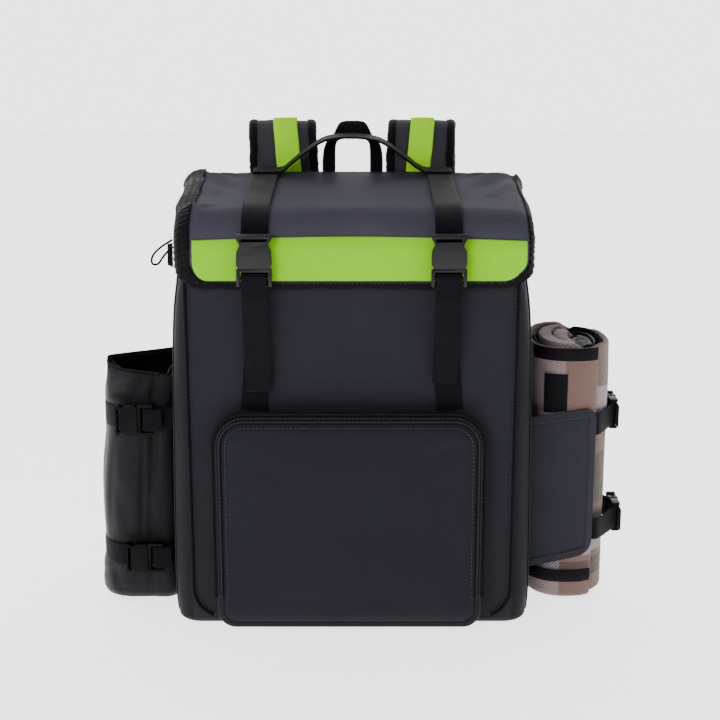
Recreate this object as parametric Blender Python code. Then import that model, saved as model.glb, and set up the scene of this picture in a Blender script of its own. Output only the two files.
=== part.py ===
# Backpack cooler: an insulated body with a buckled lid flap, a front pocket, a bottle pouch on one
# side and a rolled blanket strapped to the other. Metres, +Z up, the front faces -Y, and the origin
# is on the ground under the middle of the body.
import bpy
import bmesh
from math import atan2, cos, hypot, pi, radians, sin, sqrt
from mathutils import Matrix, Vector

# General
GAP = 0.0004            # clearance that touching pieces keep
SMALL_CORNER = 0.006    # least corner radius inside a wall
PAST = 0.001            # how far a cutter runs past the face it cuts
SLIVER = 0.00005        # keeps the faces of joined shapes off one plane
WEBBING = 0.0240        # width of the webbing on the lid, the front and the shoulders
SIDE_WEBBING = 0.0222   # and round the pouch and the blanket
WEBBING_T = 0.0014      # its thickness

# Body
BODY_W = 0.320
BODY_D = 0.190
BODY_H = 0.400          # rear rim above the ground
RIM_FALL = 0.017        # the front rim is lower by this
BODY_WALL = 0.005
FRONT_CORNER = 0.018    # radius of the upright front corners
REAR_CORNER = 0.028
BASE_EDGE = 0.024       # radius between the walls and the base
# Sections of the body: share of the height, share of the width, share of the depth
BODY_SECTIONS = (
    (0.00, 1.020, 0.985),
    (0.10, 1.030, 1.000),
    (0.40, 1.020, 1.012),
    (0.70, 1.002, 1.004),
    (0.84, 0.966, 0.990),
    (1.00, 0.940, 0.975),
)

# Lid flap
FLAP_T = 0.003
FLAP_W = 0.318
FLAP_BEND = 0.036       # radius over the front top edge
FLAP_DROP = 0.068       # from the top of the bend to the lower edge
FLAP_SIDE_TURN = 0.011  # the side edges turn down by this radius
FLAP_CORNER = 0.026     # rounded lower corners
TOP_SAG = 0.005         # the sides of the top are lower than its middle
FLAP_STANDS_OFF = 0.0030
BINDING_W = 0.007
BINDING_T = 0.0042
LIME_BAND_H = 0.037
LIME_INSET = 0.002      # inside the binding
LIME_T = 0.0008

# Webbing and buckles on the front
STRAP_X = 0.085
STRAP_LIFT = 0.0006      # more clearance where flat webbing crosses the bowed flap
# Side-release buckles: width, length of socket and plug, webbing they take
BUCKLE_SIZES = {
    "front": dict(width=0.0310, socket=0.0300, plug=0.0158, webbing=WEBBING),
    "side": dict(width=0.0288, socket=0.0205, plug=0.0146, webbing=SIDE_WEBBING),
}
# Side of a socket from its mouth: share of half its width, share of its length
SOCKET_SIDE = ((0.87, 0.0), (1.0, 0.12), (0.96, 0.52), (0.79, 0.68), (0.97, 0.84), (1.0, 1.0))
# Parts of a plug: shares of the buckle's thickness from its back
PLUG_DEPTHS = {
    "beam": (0.11, 0.89),
    "rail": (0.09, 0.91),
    "end_bar": (0.34, 0.68),
    "prong": (0.27, 0.75),
    "tongue": (0.34, 0.68),
}
BEAM_L = 0.0030
END_BAR_L = 0.0022
BUCKLE_T = 0.0088
BUCKLE_WALL = 0.0016
SOCKET_SLOT_L = 0.0026
PRONG_W = 0.0028
BAR_R = 0.0016
BAR_IN = 0.0085          # the webbing bar from the joint between socket and plug
BAR_DEEP = 0.0045        # and from the buckle's back
BUCKLE_DOWN = 0.0600     # the joint between its halves below the rear rim
FRONT_BUCKLE_LEAN = 3.0  # degrees back from upright
LEAN_CLEAR = 0.0006
TAIL_DOWN = (0.1120, 0.1045)    # the free ends below that joint, left and right
TAIL_OFF = 0.0065        # the free ends hang this far off the body
TAIL_BOW = 0.0020        # and bow out by this on the way
SEAM_UP = 0.0020         # the straps' seam above the pocket

# Front pocket
POCKET_W = 0.248
POCKET_H = 0.203
POCKET_D = 0.016
POCKET_PUFF = 0.006
POCKET_WALL = 0.0016
POCKET_CORNER = 0.028
POCKET_EDGE = 0.0065    # strip with the zip round the inner panel
POCKET_BASE_GAP = 0.004
POCKET_ROUND = 0.003    # rounding of the outer edge
POCKET_STEP = 0.0012    # the inner panel stands out by this
POCKET_PUFF_REACH = 0.070   # from the inner panel's edge to where it is level
# Rounding of the outer edge: shares of the rounding inward and back from the front
POCKET_ROUNDING = ((0.0, 1.0), (0.27, 0.33), (0.83, 0.07))
# Puff of the inner panel: share of its reach, share of the puff
POCKET_PUFFING = ((0.14, 0.45), (0.50, 0.85), (1.0, 1.0))
TRIM_UP = 0.030         # the zip and the piping start above the pocket's base
PIPING_R = 0.0017
ZIP_W = 0.0033
ZIP_T = 0.0010

# Main zip and the piping of the front panel
PANEL_INSET = 0.0125     # piping inside the body's side
PANEL_CORNER = 0.030
PIPING_DOWN = 0.049      # the piping's upper end below the rim, under the flap
MAIN_ZIP_Y = 0.020       # zip behind the front face
MAIN_ZIP_W = 0.009
MAIN_ZIP_RISE = 0.006    # the zip's end above the piping's

# Handles
HANDLE_SPAN = 0.128      # between the tabs
HANDLE_RISE = 0.040
HANDLE_T = 0.0022
HANDLE_Y = 0.074
# Arch of the carry handle: share of half the span, share of the rise
HANDLE_ARCH = ((0.0, 1.0), (0.32, 0.93), (0.68, 0.62), (0.95, 0.16), (1.12, 0.01))
TAB_L = 0.034
LOOP_OUTER = 0.0338      # half the width at the foot
LOOP_GAP = 0.0185        # half the gap
LOOP_RISE = 0.051        # above the rear edge of the lid
LOOP_BAND = 0.018        # depth of the band over the gap
LOOP_T = 0.0032
LOOP_FOOT = 0.030        # sewn to the rear wall below the lid
# Grab loop above the rim: share of the outer half width, share of the rise, share of the gap's
# half width, share of the gap's height
LOOP_SECTIONS = (
    (1.00, 0.33, 1.00, 0.50),
    (0.86, 0.59, 0.98, 0.78),
    (0.57, 0.74, 0.90, 0.92),
    (0.46, 0.91, 0.72, 0.98),
    (0.34, 0.98, 0.50, 1.00),
    (0.17, 1.00, 0.25, 1.00),
    (0.00, 1.00, 0.00, 1.00),
)

# Shoulder straps
SHOULDER_X = 0.069
SHOULDER_SPLAY = 0.006
SHOULDER_W = 0.069
SHOULDER_T = 0.010
SHOULDER_LIME_W = 0.024
SHOULDER_REACH = 0.076  # how far the strap's middle layer bows behind the rear wall
# Side view of a shoulder strap: share of the body's height, share of the reach
SHOULDER_ROUTE = (
    (0.895, 0.00),
    (0.975, 0.00),
    (1.065, 0.10),
    (1.118, 0.32),
    (1.105, 0.62),
    (1.020, 0.88),
    (0.880, 0.99),
    (0.680, 0.97),
    (0.460, 0.82),
    (0.270, 0.54),
)
SHOULDER_FOOT_X = 0.108
LADDER_W = 0.031
LADDER_H = 0.026
LADDER_T = 0.005
LADDER_SLOTS = ((0.13, 0.33), (0.50, 0.87))   # shares of its height from the top
FOOT_Z = 0.040
FOOT_SLACK = 0.004      # the webbing bows off the wall by this above its foot

# Back panel
BACK_PANEL_W = 0.262
BACK_PANEL_H = 0.272
BACK_PANEL_T = 0.007
BACK_PANEL_Z = 0.068
BACK_PANEL_CORNER = 0.030

# Bottle pouch on the left
POUCH_W = 0.078          # across, away from the body
POUCH_D = 0.104          # along the body's side
POUCH_BASE_Z = 0.006
POUCH_RIM_Z = 0.235
POUCH_RIM_DIP = 0.008    # the front of the rim is lower
POUCH_WALL = 0.0020
POUCH_CORNER = 0.032             # rounding away from the body
POUCH_FOLD = 0.015               # and beside it, where the wall folds in
POUCH_BASE_EDGE = 0.012          # the wall runs in by this at the base
# Sections of the pouch: share of its height, share of the base edge that the wall is inset
POUCH_SECTIONS = (
    (0.000, 1.00),
    (0.008, 0.50),
    (0.030, 0.15),
    (0.070, 0.00),
    (0.30, 0.05),
    (0.52, 0.00),
    (0.72, 0.07),
    (0.88, 0.03),
    (1.00, 0.00),
)
SEWN_EDGE = 0.004                # webbing round a side form starts this far off the body
POUCH_STRAP_Z = (0.189, 0.053)   # upper and lower
POUCH_BUCKLE_X = (0.0348, 0.0295)   # the joints from the body's side

# Rolled blanket on the right
ROLL_W = 0.080
ROLL_D = 0.108
ROLL_BASE_Z = 0.010
ROLL_TOP_Z = 0.256
ROLL_LAYER = 0.0078
ROLL_PITCH = 0.0092
ROLL_TURNS = 2.6
ROLL_SQUARE = 0.82       # below 1, the roll's outline is squarer than an ellipse
ROLL_DRIFT = (0.38, -0.30)   # drift of the inner turns towards the free side and the front, a metre inward
ROLL_OVERLAP = -0.165    # where the outer edge is lapped, in turns from the free side
CORE_CLEAR = 0.0025
CORE_DOWN = 0.004        # the core's end below the top
ROLL_BAND_W = 0.012
LOW_BAND_UP = 0.016      # the lower hem's band above the roll's base
ROLL_BAND_T = 0.0008
HEM_TURNS = (-0.40, -0.168)      # the stretch of the roll that the hems' bands cover
PATCH_TURNS = (-0.345, -0.262)   # the dark patch on the outer turn, in turns
PATCH_TOP_Z = 0.2310
HOLDER_T = 0.002
HOLDER_TURNS = (-0.345, -0.170)  # the stretch of the roll that it covers, in turns
HOLDER_TOP_Z = (0.190, 0.200)    # at the body's side and at the free edge
HOLDER_BASE_Z = (0.041, 0.056)
HOLDER_CORNER = 0.012
STRAP_TURNS = 0.0018     # the straps start past the wing's edge, in turns
STRAP_BOW_TURNS = 0.035
REAR_TURNS = (0.13, 0.33)        # the stretch of the roll that the rear straps follow
ROLL_STRAP_Z = (0.182, 0.078)
ROLL_BUCKLE_Y = (0.000, -0.002)    # their joints along the body's side
ROLL_BUCKLE_OFF = (0.0, 0.006)     # and how far they stand off the roll
SIDE_TAIL = 0.007        # short free ends at the side buckles

# Zip sliders
SLIDER_W = 0.008
SLIDER_L = 0.012
SLIDER_T = 0.004
PULL_R = 0.0010
PULL_DOWN = 0.042        # the slider below the rim
PULL_TAB_L = 0.021
TAB_W = 0.010
TAB_T = 0.002
# Outline of the tape tab: share of its width outward, share of its length down
TAB_OUTLINE = ((0.05, 0.05), (0.50, 0.10), (0.55, 1.00), (0.05, 1.10), (0.04, 0.48))
CORD_REACH = (0.019, 0.021)   # outward and down
CORD_SWELL = (0.0024, 0.0034)
# The cord's loop: share of the reach, share of the swell
CORD_ROUTE = ((0.0, 0.15), (0.5, 1.0), (0.85, 1.0), (1.0, 0.0), (0.85, -1.0), (0.5, -0.8), (0.12, -0.9))

BLACK = (0.012, 0.012, 0.015)
CHARCOAL = (0.022, 0.022, 0.030)
LIME = (0.390, 0.690, 0.015)
PLASTIC = (0.010, 0.010, 0.012)
TAN = (0.320, 0.220, 0.180)


def clear_scene():
    for thing in list(bpy.data.objects):
        bpy.data.objects.remove(thing, do_unlink=True)


def material(name, colour, roughness, metallic=0.0):
    if name in bpy.data.materials:
        return bpy.data.materials[name]
    made = bpy.data.materials.new(name)
    made.use_nodes = True
    shader = made.node_tree.nodes["Principled BSDF"]
    shader.inputs["Base Color"].default_value = (*colour, 1.0)
    shader.inputs["Roughness"].default_value = roughness
    shader.inputs["Metallic"].default_value = metallic
    made.diffuse_color = (*colour, 1.0)
    return made


def add_object(name, data, look):
    made = bpy.data.objects.new(name, data)
    bpy.context.scene.collection.objects.link(made)
    data.materials.clear()
    data.materials.append(material(name + "_look", *look))
    if isinstance(data, bpy.types.Mesh):
        data.shade_smooth()
        data.set_sharp_from_angle(angle=radians(35))
    return made


def mesh_object(name, shape, look):
    """An object from a bmesh, which is freed."""
    bmesh.ops.recalc_face_normals(shape, faces=shape.faces)
    data = bpy.data.meshes.new(name)
    shape.to_mesh(data)
    shape.free()
    return add_object(name, data, look)


def spline_value(table, at, column):
    """Smooth value of a column of a table at a share of its first column."""
    rows = list(table)
    last = len(rows) - 2
    i = max([k for k in range(len(rows) - 1) if rows[k][0] <= at] or [0])
    i = min(i, last)
    low, high = rows[i], rows[i + 1]
    before = rows[max(i - 1, 0)]
    after = rows[min(i + 2, len(rows) - 1)]
    span = high[0] - low[0]
    t = min(max((at - low[0]) / span, 0.0), 1.0)
    rise_low = span * (high[column] - before[column]) / (high[0] - before[0])
    rise_high = span * (after[column] - low[column]) / (after[0] - low[0])
    return (
        (2 * t ** 3 - 3 * t ** 2 + 1) * low[column]
        + (t ** 3 - 2 * t ** 2 + t) * rise_low
        + (3 * t ** 2 - 2 * t ** 3) * high[column]
        + (t ** 3 - t ** 2) * rise_high
    )


def smooth_path(points, steps):
    """A Catmull-Rom curve through the points, with this many steps between each two."""
    ends = [points[0] * 2 - points[1], *points, points[-1] * 2 - points[-2]]
    path = []
    for a, b, c, d in zip(ends, ends[1:], ends[2:], ends[3:]):
        for k in range(steps):
            t = k / steps
            path.append(
                0.5 * (2 * b + (c - a) * t + (2 * a - 5 * b + 4 * c - d) * t * t
                       + (3 * b - a - 3 * c + d) * t ** 3)
            )
    return path + [points[-1].copy()]


def arc(middle, radius, start, end, steps):
    """Points (across, up) on an arc, with angles in degrees."""
    turn = [radians(start + (end - start) * k / steps) for k in range(steps + 1)]
    return [(middle[0] + radius * cos(a), middle[1] + radius * sin(a)) for a in turn]


def rounded_outline(half_w, low, high, low_radius, high_radius, steps=4, side_steps=1):
    """A rectangle with round corners, counterclockwise from the lower left corner's end."""
    corners = (
        (half_w - low_radius, low + low_radius, low_radius, 270),
        (half_w - high_radius, high - high_radius, high_radius, 0),
        (-half_w + high_radius, high - high_radius, high_radius, 90),
        (-half_w + low_radius, low + low_radius, low_radius, 180),
    )
    outline = []
    for x, y, radius, start in corners:
        outline += arc((x, y), radius, start, start + 90, steps)
    if side_steps == 1:
        return outline
    filled = []
    for here, there in zip(outline, outline[1:] + outline[:1]):
        filled.append(here)
        if hypot(there[0] - here[0], there[1] - here[1]) > 4 * low_radius:
            for k in range(1, side_steps):
                t = k / side_steps
                filled.append((here[0] + (there[0] - here[0]) * t, here[1] + (there[1] - here[1]) * t))
    return filled


def loft(name, loops, look):
    """Closed loops joined in turn, with a face over the first and the last."""
    shape = bmesh.new()
    rings = [[shape.verts.new(p) for p in loop] for loop in loops]
    for ring, following in zip(rings, rings[1:]):
        for k in range(len(ring)):
            j = (k + 1) % len(ring)
            shape.faces.new((ring[k], ring[j], following[j], following[k]))
    shape.faces.new(rings[0][::-1])
    shape.faces.new(rings[-1])
    return mesh_object(name, shape, look)


def sheet(name, rows, thickness, look):
    """A sheet through rows of points, thickened evenly."""
    shape = bmesh.new()
    grid = [[shape.verts.new(p) for p in row] for row in rows]
    for row, following in zip(grid, grid[1:]):
        for k in range(len(row) - 1):
            shape.faces.new((row[k], row[k + 1], following[k + 1], following[k]))
    data = bpy.data.meshes.new(name)
    shape.to_mesh(data)
    shape.free()
    made = add_object(name, data, look)
    thick = made.modifiers.new("Thickness", "SOLIDIFY")
    thick.thickness = thickness
    thick.offset = 0.0
    thick.use_even_offset = True
    return made


def slab(name, front, back, look):
    """A closed solid between two grids of points."""
    shape = bmesh.new()
    faces = [[[shape.verts.new(p) for p in row] for row in grid] for grid in (front, back)]
    for grid in faces:
        for row, following in zip(grid, grid[1:]):
            for k in range(len(row) - 1):
                shape.faces.new((row[k], row[k + 1], following[k + 1], following[k]))
    rims = []
    for grid in faces:
        right = [row[-1] for row in grid[1:-1]]
        left = [row[0] for row in grid[-2:0:-1]]
        rims.append(grid[0] + right + grid[-1][::-1] + left)
    for k in range(len(rims[0])):
        j = (k + 1) % len(rims[0])
        shape.faces.new((rims[0][k], rims[0][j], rims[1][j], rims[1][k]))
    return mesh_object(name, shape, look)


def ribbon(name, path, width, thickness, look, across=Vector((1, 0, 0))):
    """Webbing whose middle line follows the path, flat across one direction."""
    half = across * width / 2
    return sheet(name, [[p - half, p + half] for p in path], thickness, look)


def tube(name, path, radius, look):
    """A round cord or piping along a path."""
    data = bpy.data.curves.new(name, "CURVE")
    data.dimensions = "3D"
    data.bevel_depth = radius
    data.bevel_resolution = 1
    data.use_fill_caps = True
    line = data.splines.new("POLY")
    line.points.add(len(path) - 1)
    for point, place in zip(line.points, path):
        point.co = (*place, 1.0)
    return add_object(name, data, look)


def box_shape(low, high):
    """A bmesh box between two corners."""
    shape = bmesh.new()
    size = Vector(high) - Vector(low)
    middle = (Vector(high) + Vector(low)) / 2
    place = Matrix.Translation(middle) @ Matrix.Diagonal((*size, 1.0))
    bmesh.ops.create_cube(shape, size=1.0, matrix=place)
    return shape


def cylinder_shape(middle, radius, length, turn, sides=10):
    shape = bmesh.new()
    bmesh.ops.create_cone(
        shape, cap_ends=True, segments=sides, radius1=radius, radius2=radius, depth=length,
        matrix=Matrix.Translation(middle) @ turn,
    )
    return shape


def prism_shape(outline, low, high):
    """An outline in (x, z) drawn out along Y."""
    shape = bmesh.new()
    near = [shape.verts.new((x, low, z)) for x, z in outline]
    far = [shape.verts.new((x, high, z)) for x, z in outline]
    shape.faces.new(near)
    shape.faces.new(far[::-1])
    for k in range(len(near)):
        j = (k + 1) % len(near)
        shape.faces.new((near[j], near[k], far[k], far[j]))
    return shape


def combined_mesh(name, base, others):
    """The base bmesh with others joined to it or cut from it."""
    def as_object(shape, label):
        bmesh.ops.recalc_face_normals(shape, faces=shape.faces)
        data = bpy.data.meshes.new(label)
        shape.to_mesh(data)
        shape.free()
        made = bpy.data.objects.new(label, data)
        bpy.context.scene.collection.objects.link(made)
        return made

    body = as_object(base, name + "_base")
    tools = []
    for k, (operation, shape) in enumerate(others):
        tool = as_object(shape, f"{name}_tool_{k}")
        change = body.modifiers.new(operation, "BOOLEAN")
        change.operation = operation
        change.object = tool
        tools.append(tool)
    bpy.context.view_layer.update()
    graph = bpy.context.evaluated_depsgraph_get()
    result = bpy.data.meshes.new_from_object(body.evaluated_get(graph))
    result.name = name
    for thing in (*tools, body):
        bpy.data.objects.remove(thing, do_unlink=True)
    return result


# Body

def top_sag(x):
    """How much lower the top is at x than in the middle."""
    return TOP_SAG * min(abs(x) / (FLAP_W / 2), 1.0) ** 4


def flap_bend():
    """Middle (y, z) of the flap's bend over the front top edge."""
    y = -BODY_D / 2 - FLAP_STANDS_OFF - FLAP_T / 2 + FLAP_BEND
    return y, BODY_H + 2 * GAP + FLAP_T / 2 - RIM_FALL * (BODY_D / 2 - y) / BODY_D - FLAP_BEND


def rim_z(x, y):
    """Height of the body's rim at a place: it falls to the front and follows the flap's bend there."""
    level = BODY_H - RIM_FALL * (BODY_D / 2 - y) / BODY_D
    bend_y, bend_z = flap_bend()
    if y < bend_y:
        inside = FLAP_BEND - FLAP_T / 2 - 3 * GAP
        level = min(level, bend_z + sqrt(max(inside ** 2 - (y - bend_y) ** 2, 0.0)))
    return level - top_sag(x)


def body_half_width(z):
    return BODY_W / 2 * spline_value(BODY_SECTIONS, z / BODY_H, 1)


def body_half_depth(z):
    return BODY_D / 2 * spline_value(BODY_SECTIONS, z / BODY_H, 2)


def body_loop(share, inset, base_inset):
    """One outline of the body, inset by the wall, at a share of the way up to the rim."""
    z_middle = share * BODY_H
    half_w = body_half_width(z_middle) - inset - base_inset
    half_d = body_half_depth(z_middle) - inset - base_inset
    front = max(FRONT_CORNER - inset, SMALL_CORNER)
    rear = max(REAR_CORNER - inset, SMALL_CORNER)
    outline = rounded_outline(half_w, -half_d, half_d, front, rear, steps=4, side_steps=4)
    return outline, z_middle


def body_shell():
    """The insulated box: walls of even thickness round one hollow, open at the rim."""
    loops = []
    for k in range(5):
        angle = pi / 2 * k / 4
        rise = BASE_EDGE * (1 - cos(angle))
        outline, _ = body_loop(rise / BODY_H, 0.0, BASE_EDGE * (1 - sin(angle)))
        loops.append([Vector((x, y, rise)) for x, y in outline])
    shares = (0.13, 0.22, 0.32, 0.44, 0.56, 0.68, 0.78, 0.87, 0.94, 1.0)
    for inset, order in ((0.0, shares), (BODY_WALL, shares[::-1])):
        for share in order:
            outline, z_middle = body_loop(share, inset, 0.0)
            loops.append([Vector((x, y, z_middle * rim_z(x, y) / BODY_H)) for x, y in outline])
    for k in range(4, -1, -1):
        angle = pi / 2 * k / 4
        radius = BASE_EDGE - BODY_WALL
        rise = BODY_WALL + radius * (1 - cos(angle))
        outline, _ = body_loop(rise / BODY_H, BODY_WALL, radius * (1 - sin(angle)))
        loops.append([Vector((x, y, rise)) for x, y in outline])
    return loft("body_shell", loops, (CHARCOAL, 0.75))


def on_body_front(x, z, off):
    """A point on the front of the body or round its front corners, standing off by a distance."""
    half_w = body_half_width(z)
    front = -body_half_depth(z)
    past = abs(x) - (half_w - FRONT_CORNER)
    if past <= 0:
        return Vector((x, front - off, z))
    side = 1 if x > 0 else -1
    angle = min(past / FRONT_CORNER, 1.0) * pi / 2
    reach = FRONT_CORNER + off
    return Vector((
        side * (half_w - FRONT_CORNER + reach * sin(angle)),
        front + FRONT_CORNER - reach * cos(angle),
        z,
    ))


def front_piping():
    """Piping down each side of the front panel, round its lower corner and up to the pocket."""
    top = BODY_H - PIPING_DOWN
    low = BASE_EDGE
    half = BODY_W / 2 - PANEL_INSET
    off = PIPING_R + GAP
    for label, side in (("left", -1), ("right", 1)):
        route = [(half, top + (low + PANEL_CORNER - top) * k / 8) for k in range(8)]
        route += [p for p in arc((half - PANEL_CORNER, low + PANEL_CORNER), PANEL_CORNER, 0, -90, 6)
                  if p[0] > POCKET_W / 2 + 2 * PIPING_R]
        path = [on_body_front(side * x, z, off) for x, z in route]
        tube("front_piping_" + label, path, PIPING_R, (BLACK, 0.6))


def main_zip():
    """The zip tape up each side of the body, behind the front corner."""
    top = BODY_H - PIPING_DOWN + MAIN_ZIP_RISE
    off = GAP + ZIP_T / 2

    def row(z, side):
        half_d = body_half_depth(z)
        x = side * (body_half_width(z) + off)
        middle = -half_d + MAIN_ZIP_Y + FRONT_CORNER / 4
        return [Vector((x, middle - MAIN_ZIP_W / 2, z)), Vector((x, middle + MAIN_ZIP_W / 2, z))]

    for label, side in (("left", -1), ("right", 1)):
        rows = [row(BASE_EDGE + (top - BASE_EDGE) * k / 10, side) for k in range(11)]
        sheet("main_zip_" + label, rows, ZIP_T, (BLACK, 0.5))


# Lid flap

def flap_line():
    """Side view of the flap's middle layer as points (y, z, ny, nz), from the rear to the lower edge."""
    rear = (body_half_depth(BODY_H) - GAP, BODY_H + 2 * GAP + FLAP_T / 2)
    bend = flap_bend()
    front_y = bend[0] - FLAP_BEND
    slope = atan2(RIM_FALL, BODY_D)
    line = []
    start = (bend[0] - FLAP_BEND * sin(slope), bend[1] + FLAP_BEND * cos(slope))
    for k in range(9):
        t = k / 8
        line.append((rear[0] + (start[0] - rear[0]) * t, rear[1] + (start[1] - rear[1]) * t))
    for k in range(1, 9):
        angle = pi / 2 + slope + (pi / 2 - slope) * k / 8
        line.append((bend[0] + FLAP_BEND * cos(angle), bend[1] + FLAP_BEND * sin(angle)))
    for k in range(1, 9):
        line.append((front_y, bend[1] - (FLAP_DROP - FLAP_BEND) * k / 8))
    return line


FLAP_LINE = flap_line()
FLAP_STEPS = [0.0]
for here, there in zip(FLAP_LINE, FLAP_LINE[1:]):
    FLAP_STEPS.append(FLAP_STEPS[-1] + hypot(there[0] - here[0], there[1] - here[1]))
FLAP_L = FLAP_STEPS[-1]


def flap_place(s):
    """Point (y, z) and outward direction at a length along the flap's line."""
    i = max([k for k in range(len(FLAP_STEPS) - 1) if FLAP_STEPS[k] <= s] or [0])
    t = (s - FLAP_STEPS[i]) / (FLAP_STEPS[i + 1] - FLAP_STEPS[i])
    here, there = FLAP_LINE[i], FLAP_LINE[i + 1]

    def normal(j):
        a = FLAP_LINE[max(j - 1, 0)]
        b = FLAP_LINE[min(j + 1, len(FLAP_LINE) - 1)]
        along = Vector((b[0] - a[0], b[1] - a[1])).normalized()
        return Vector((along[1], -along[0]))

    out = (normal(i) * (1 - t) + normal(i + 1) * t).normalized()
    return (here[0] + (there[0] - here[0]) * t, here[1] + (there[1] - here[1]) * t), out


def on_flap(x, s, off=0.0):
    """A point of the flap at a distance across and along, standing off its middle layer."""
    (y, z), out = flap_place(s)
    flat = FLAP_W / 2 - FLAP_SIDE_TURN
    past = abs(x) - flat
    turn = FLAP_SIDE_TURN
    z -= top_sag(x) * out[1]
    if past <= 0:
        return Vector((x, y + out[0] * off, z + out[1] * off))
    side = 1 if x > 0 else -1
    angle = min(past / turn, 1.0) * pi / 2
    reach = (turn + off) * cos(angle) - turn
    return Vector((side * (flat + (turn + off) * sin(angle)), y + out[0] * reach, z + out[1] * reach))


def flap_half_width(s, inset):
    """Half the flap's width along its length, with the lower corners rounded."""
    half = FLAP_W / 2 - inset
    radius = FLAP_CORNER - inset
    left = FLAP_L - inset - s
    if left >= radius:
        return half
    return half - radius + sqrt(max(radius ** 2 - (radius - left) ** 2, 0.0))


# Shares of the flap's half width, closer together where its sides turn down
ACROSS = (-1.0, -0.985, -0.965, -0.94, -0.7, -0.4, 0.0, 0.4, 0.7, 0.94, 0.965, 0.985, 1.0)


def flap_grid(inset, start, end, spread):
    """Places (x, s) across the flap between two lengths, inside its outline."""
    rows = []
    for s in [start + (end - start) * t for t in spread]:
        half = flap_half_width(s, inset)
        rows.append([(half * u, s) for u in ACROSS])
    return rows


def flap_layer(name, grid, off, thickness, look):
    """A layer of the flap of even thickness over a grid of places, standing off its middle layer."""
    faces = []
    for height in (off + thickness / 2, off - thickness / 2):
        faces.append([[on_flap(x, s, height) for x, s in row] for row in grid])
    return slab(name, *faces, look)


def lid_flap():
    inset = BINDING_W + GAP
    even = [0.90 * k / 16 for k in range(16)]
    corner = [0.90 + 0.10 * sin(pi / 2 * k / 6) for k in range(7)]
    grid = flap_grid(inset, 0.0, FLAP_L - inset, even + corner)
    return flap_layer("lid_flap", grid, 0.0, FLAP_T, (CHARCOAL, 0.7))


def flap_edge(inset):
    """The flap's outline (x, s) from the rear left, round the lower corners, to the rear right."""
    half = FLAP_W / 2 - inset
    radius = FLAP_CORNER - inset
    end = FLAP_L - inset
    left = [(-half, (end - radius) * k / 14) for k in range(14)]
    turn = [(-x, end - radius + y) for x, y in arc((half - radius, 0), radius, 0, 90, 6)]
    flat = [(-(half - radius) * (1 - k / 3), end) for k in range(1, 3)]
    lower = left + turn + flat
    return lower + [(0.0, end)] + [(-x, s) for x, s in lower[::-1]]


def lid_binding():
    grid = list(zip(flap_edge(0.0), flap_edge(BINDING_W / 2), flap_edge(BINDING_W)))
    return flap_layer("lid_binding", grid, 0.0, BINDING_T, (BLACK, 0.6))


def lime_band():
    inset = BINDING_W + LIME_INSET
    end = FLAP_L - inset
    spread = [0.0, 0.25, 0.5] + [0.5 + 0.5 * sin(pi / 2 * k / 6) for k in range(1, 7)]
    grid = flap_grid(inset, end - LIME_BAND_H, end, spread)
    off = FLAP_T / 2 + GAP + LIME_T / 2
    return flap_layer("lime_band", grid, off, LIME_T, (LIME, 0.45))


# From the flap's middle layer to the strap's back, its middle layer and the buckle's back
BAND_FACE = FLAP_T / 2 + GAP + LIME_T + GAP + STRAP_LIFT
STRAP_OFF = BAND_FACE + WEBBING_T / 2
BUCKLE_BACK = BAND_FACE + WEBBING_T + GAP


def buckle_at():
    """How far along the flap the front buckles' joints are."""
    lower_edge_z = flap_place(FLAP_L)[0][1]
    return FLAP_L - (BODY_H - BUCKLE_DOWN - lower_edge_z)


def lid_straps():
    """Webbing from the rear edge over the lid to behind each socket."""
    end = buckle_at() - BUCKLE_SIZES["front"]["socket"] * 0.6
    for label, side in (("left", -1), ("right", 1)):
        path = [on_flap(side * STRAP_X, end * k / 24, STRAP_OFF) for k in range(25)]
        ribbon("lid_strap_" + label, path, WEBBING, WEBBING_T, (BLACK, 0.8))


# Buckles: X across, Z along with the socket above and the plug below, the back on the plane y = 0

def socket_mesh(kind):
    """A flat sleeve with finger notches, side windows and a webbing slot at its closed end."""
    size = BUCKLE_SIZES[kind]
    half = size["width"] / 2
    length = size["socket"]
    wall = BUCKLE_WALL
    right = [(half * out, length * up) for out, up in SOCKET_SIDE]
    outline = right + [(-x, z) for x, z in right[::-1]]
    inside = half * SOCKET_SIDE[0][0] - wall
    reach = size["webbing"] / 2
    slot_z = 0.78 * length
    cuts = [
        box_shape((-inside, wall - BUCKLE_T, -PAST), (inside, -wall, 0.64 * length)),
        box_shape((-half - PAST, 2 * wall - BUCKLE_T, 0.2 * length), (half + PAST, -2 * wall, 0.5 * length)),
        box_shape((-reach, -BUCKLE_T - PAST, slot_z), (reach, PAST, slot_z + SOCKET_SLOT_L)),
    ]
    body = prism_shape(outline, -BUCKLE_T, 0.0)
    return combined_mesh(kind + "_socket", body, [("DIFFERENCE", cut) for cut in cuts])


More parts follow.
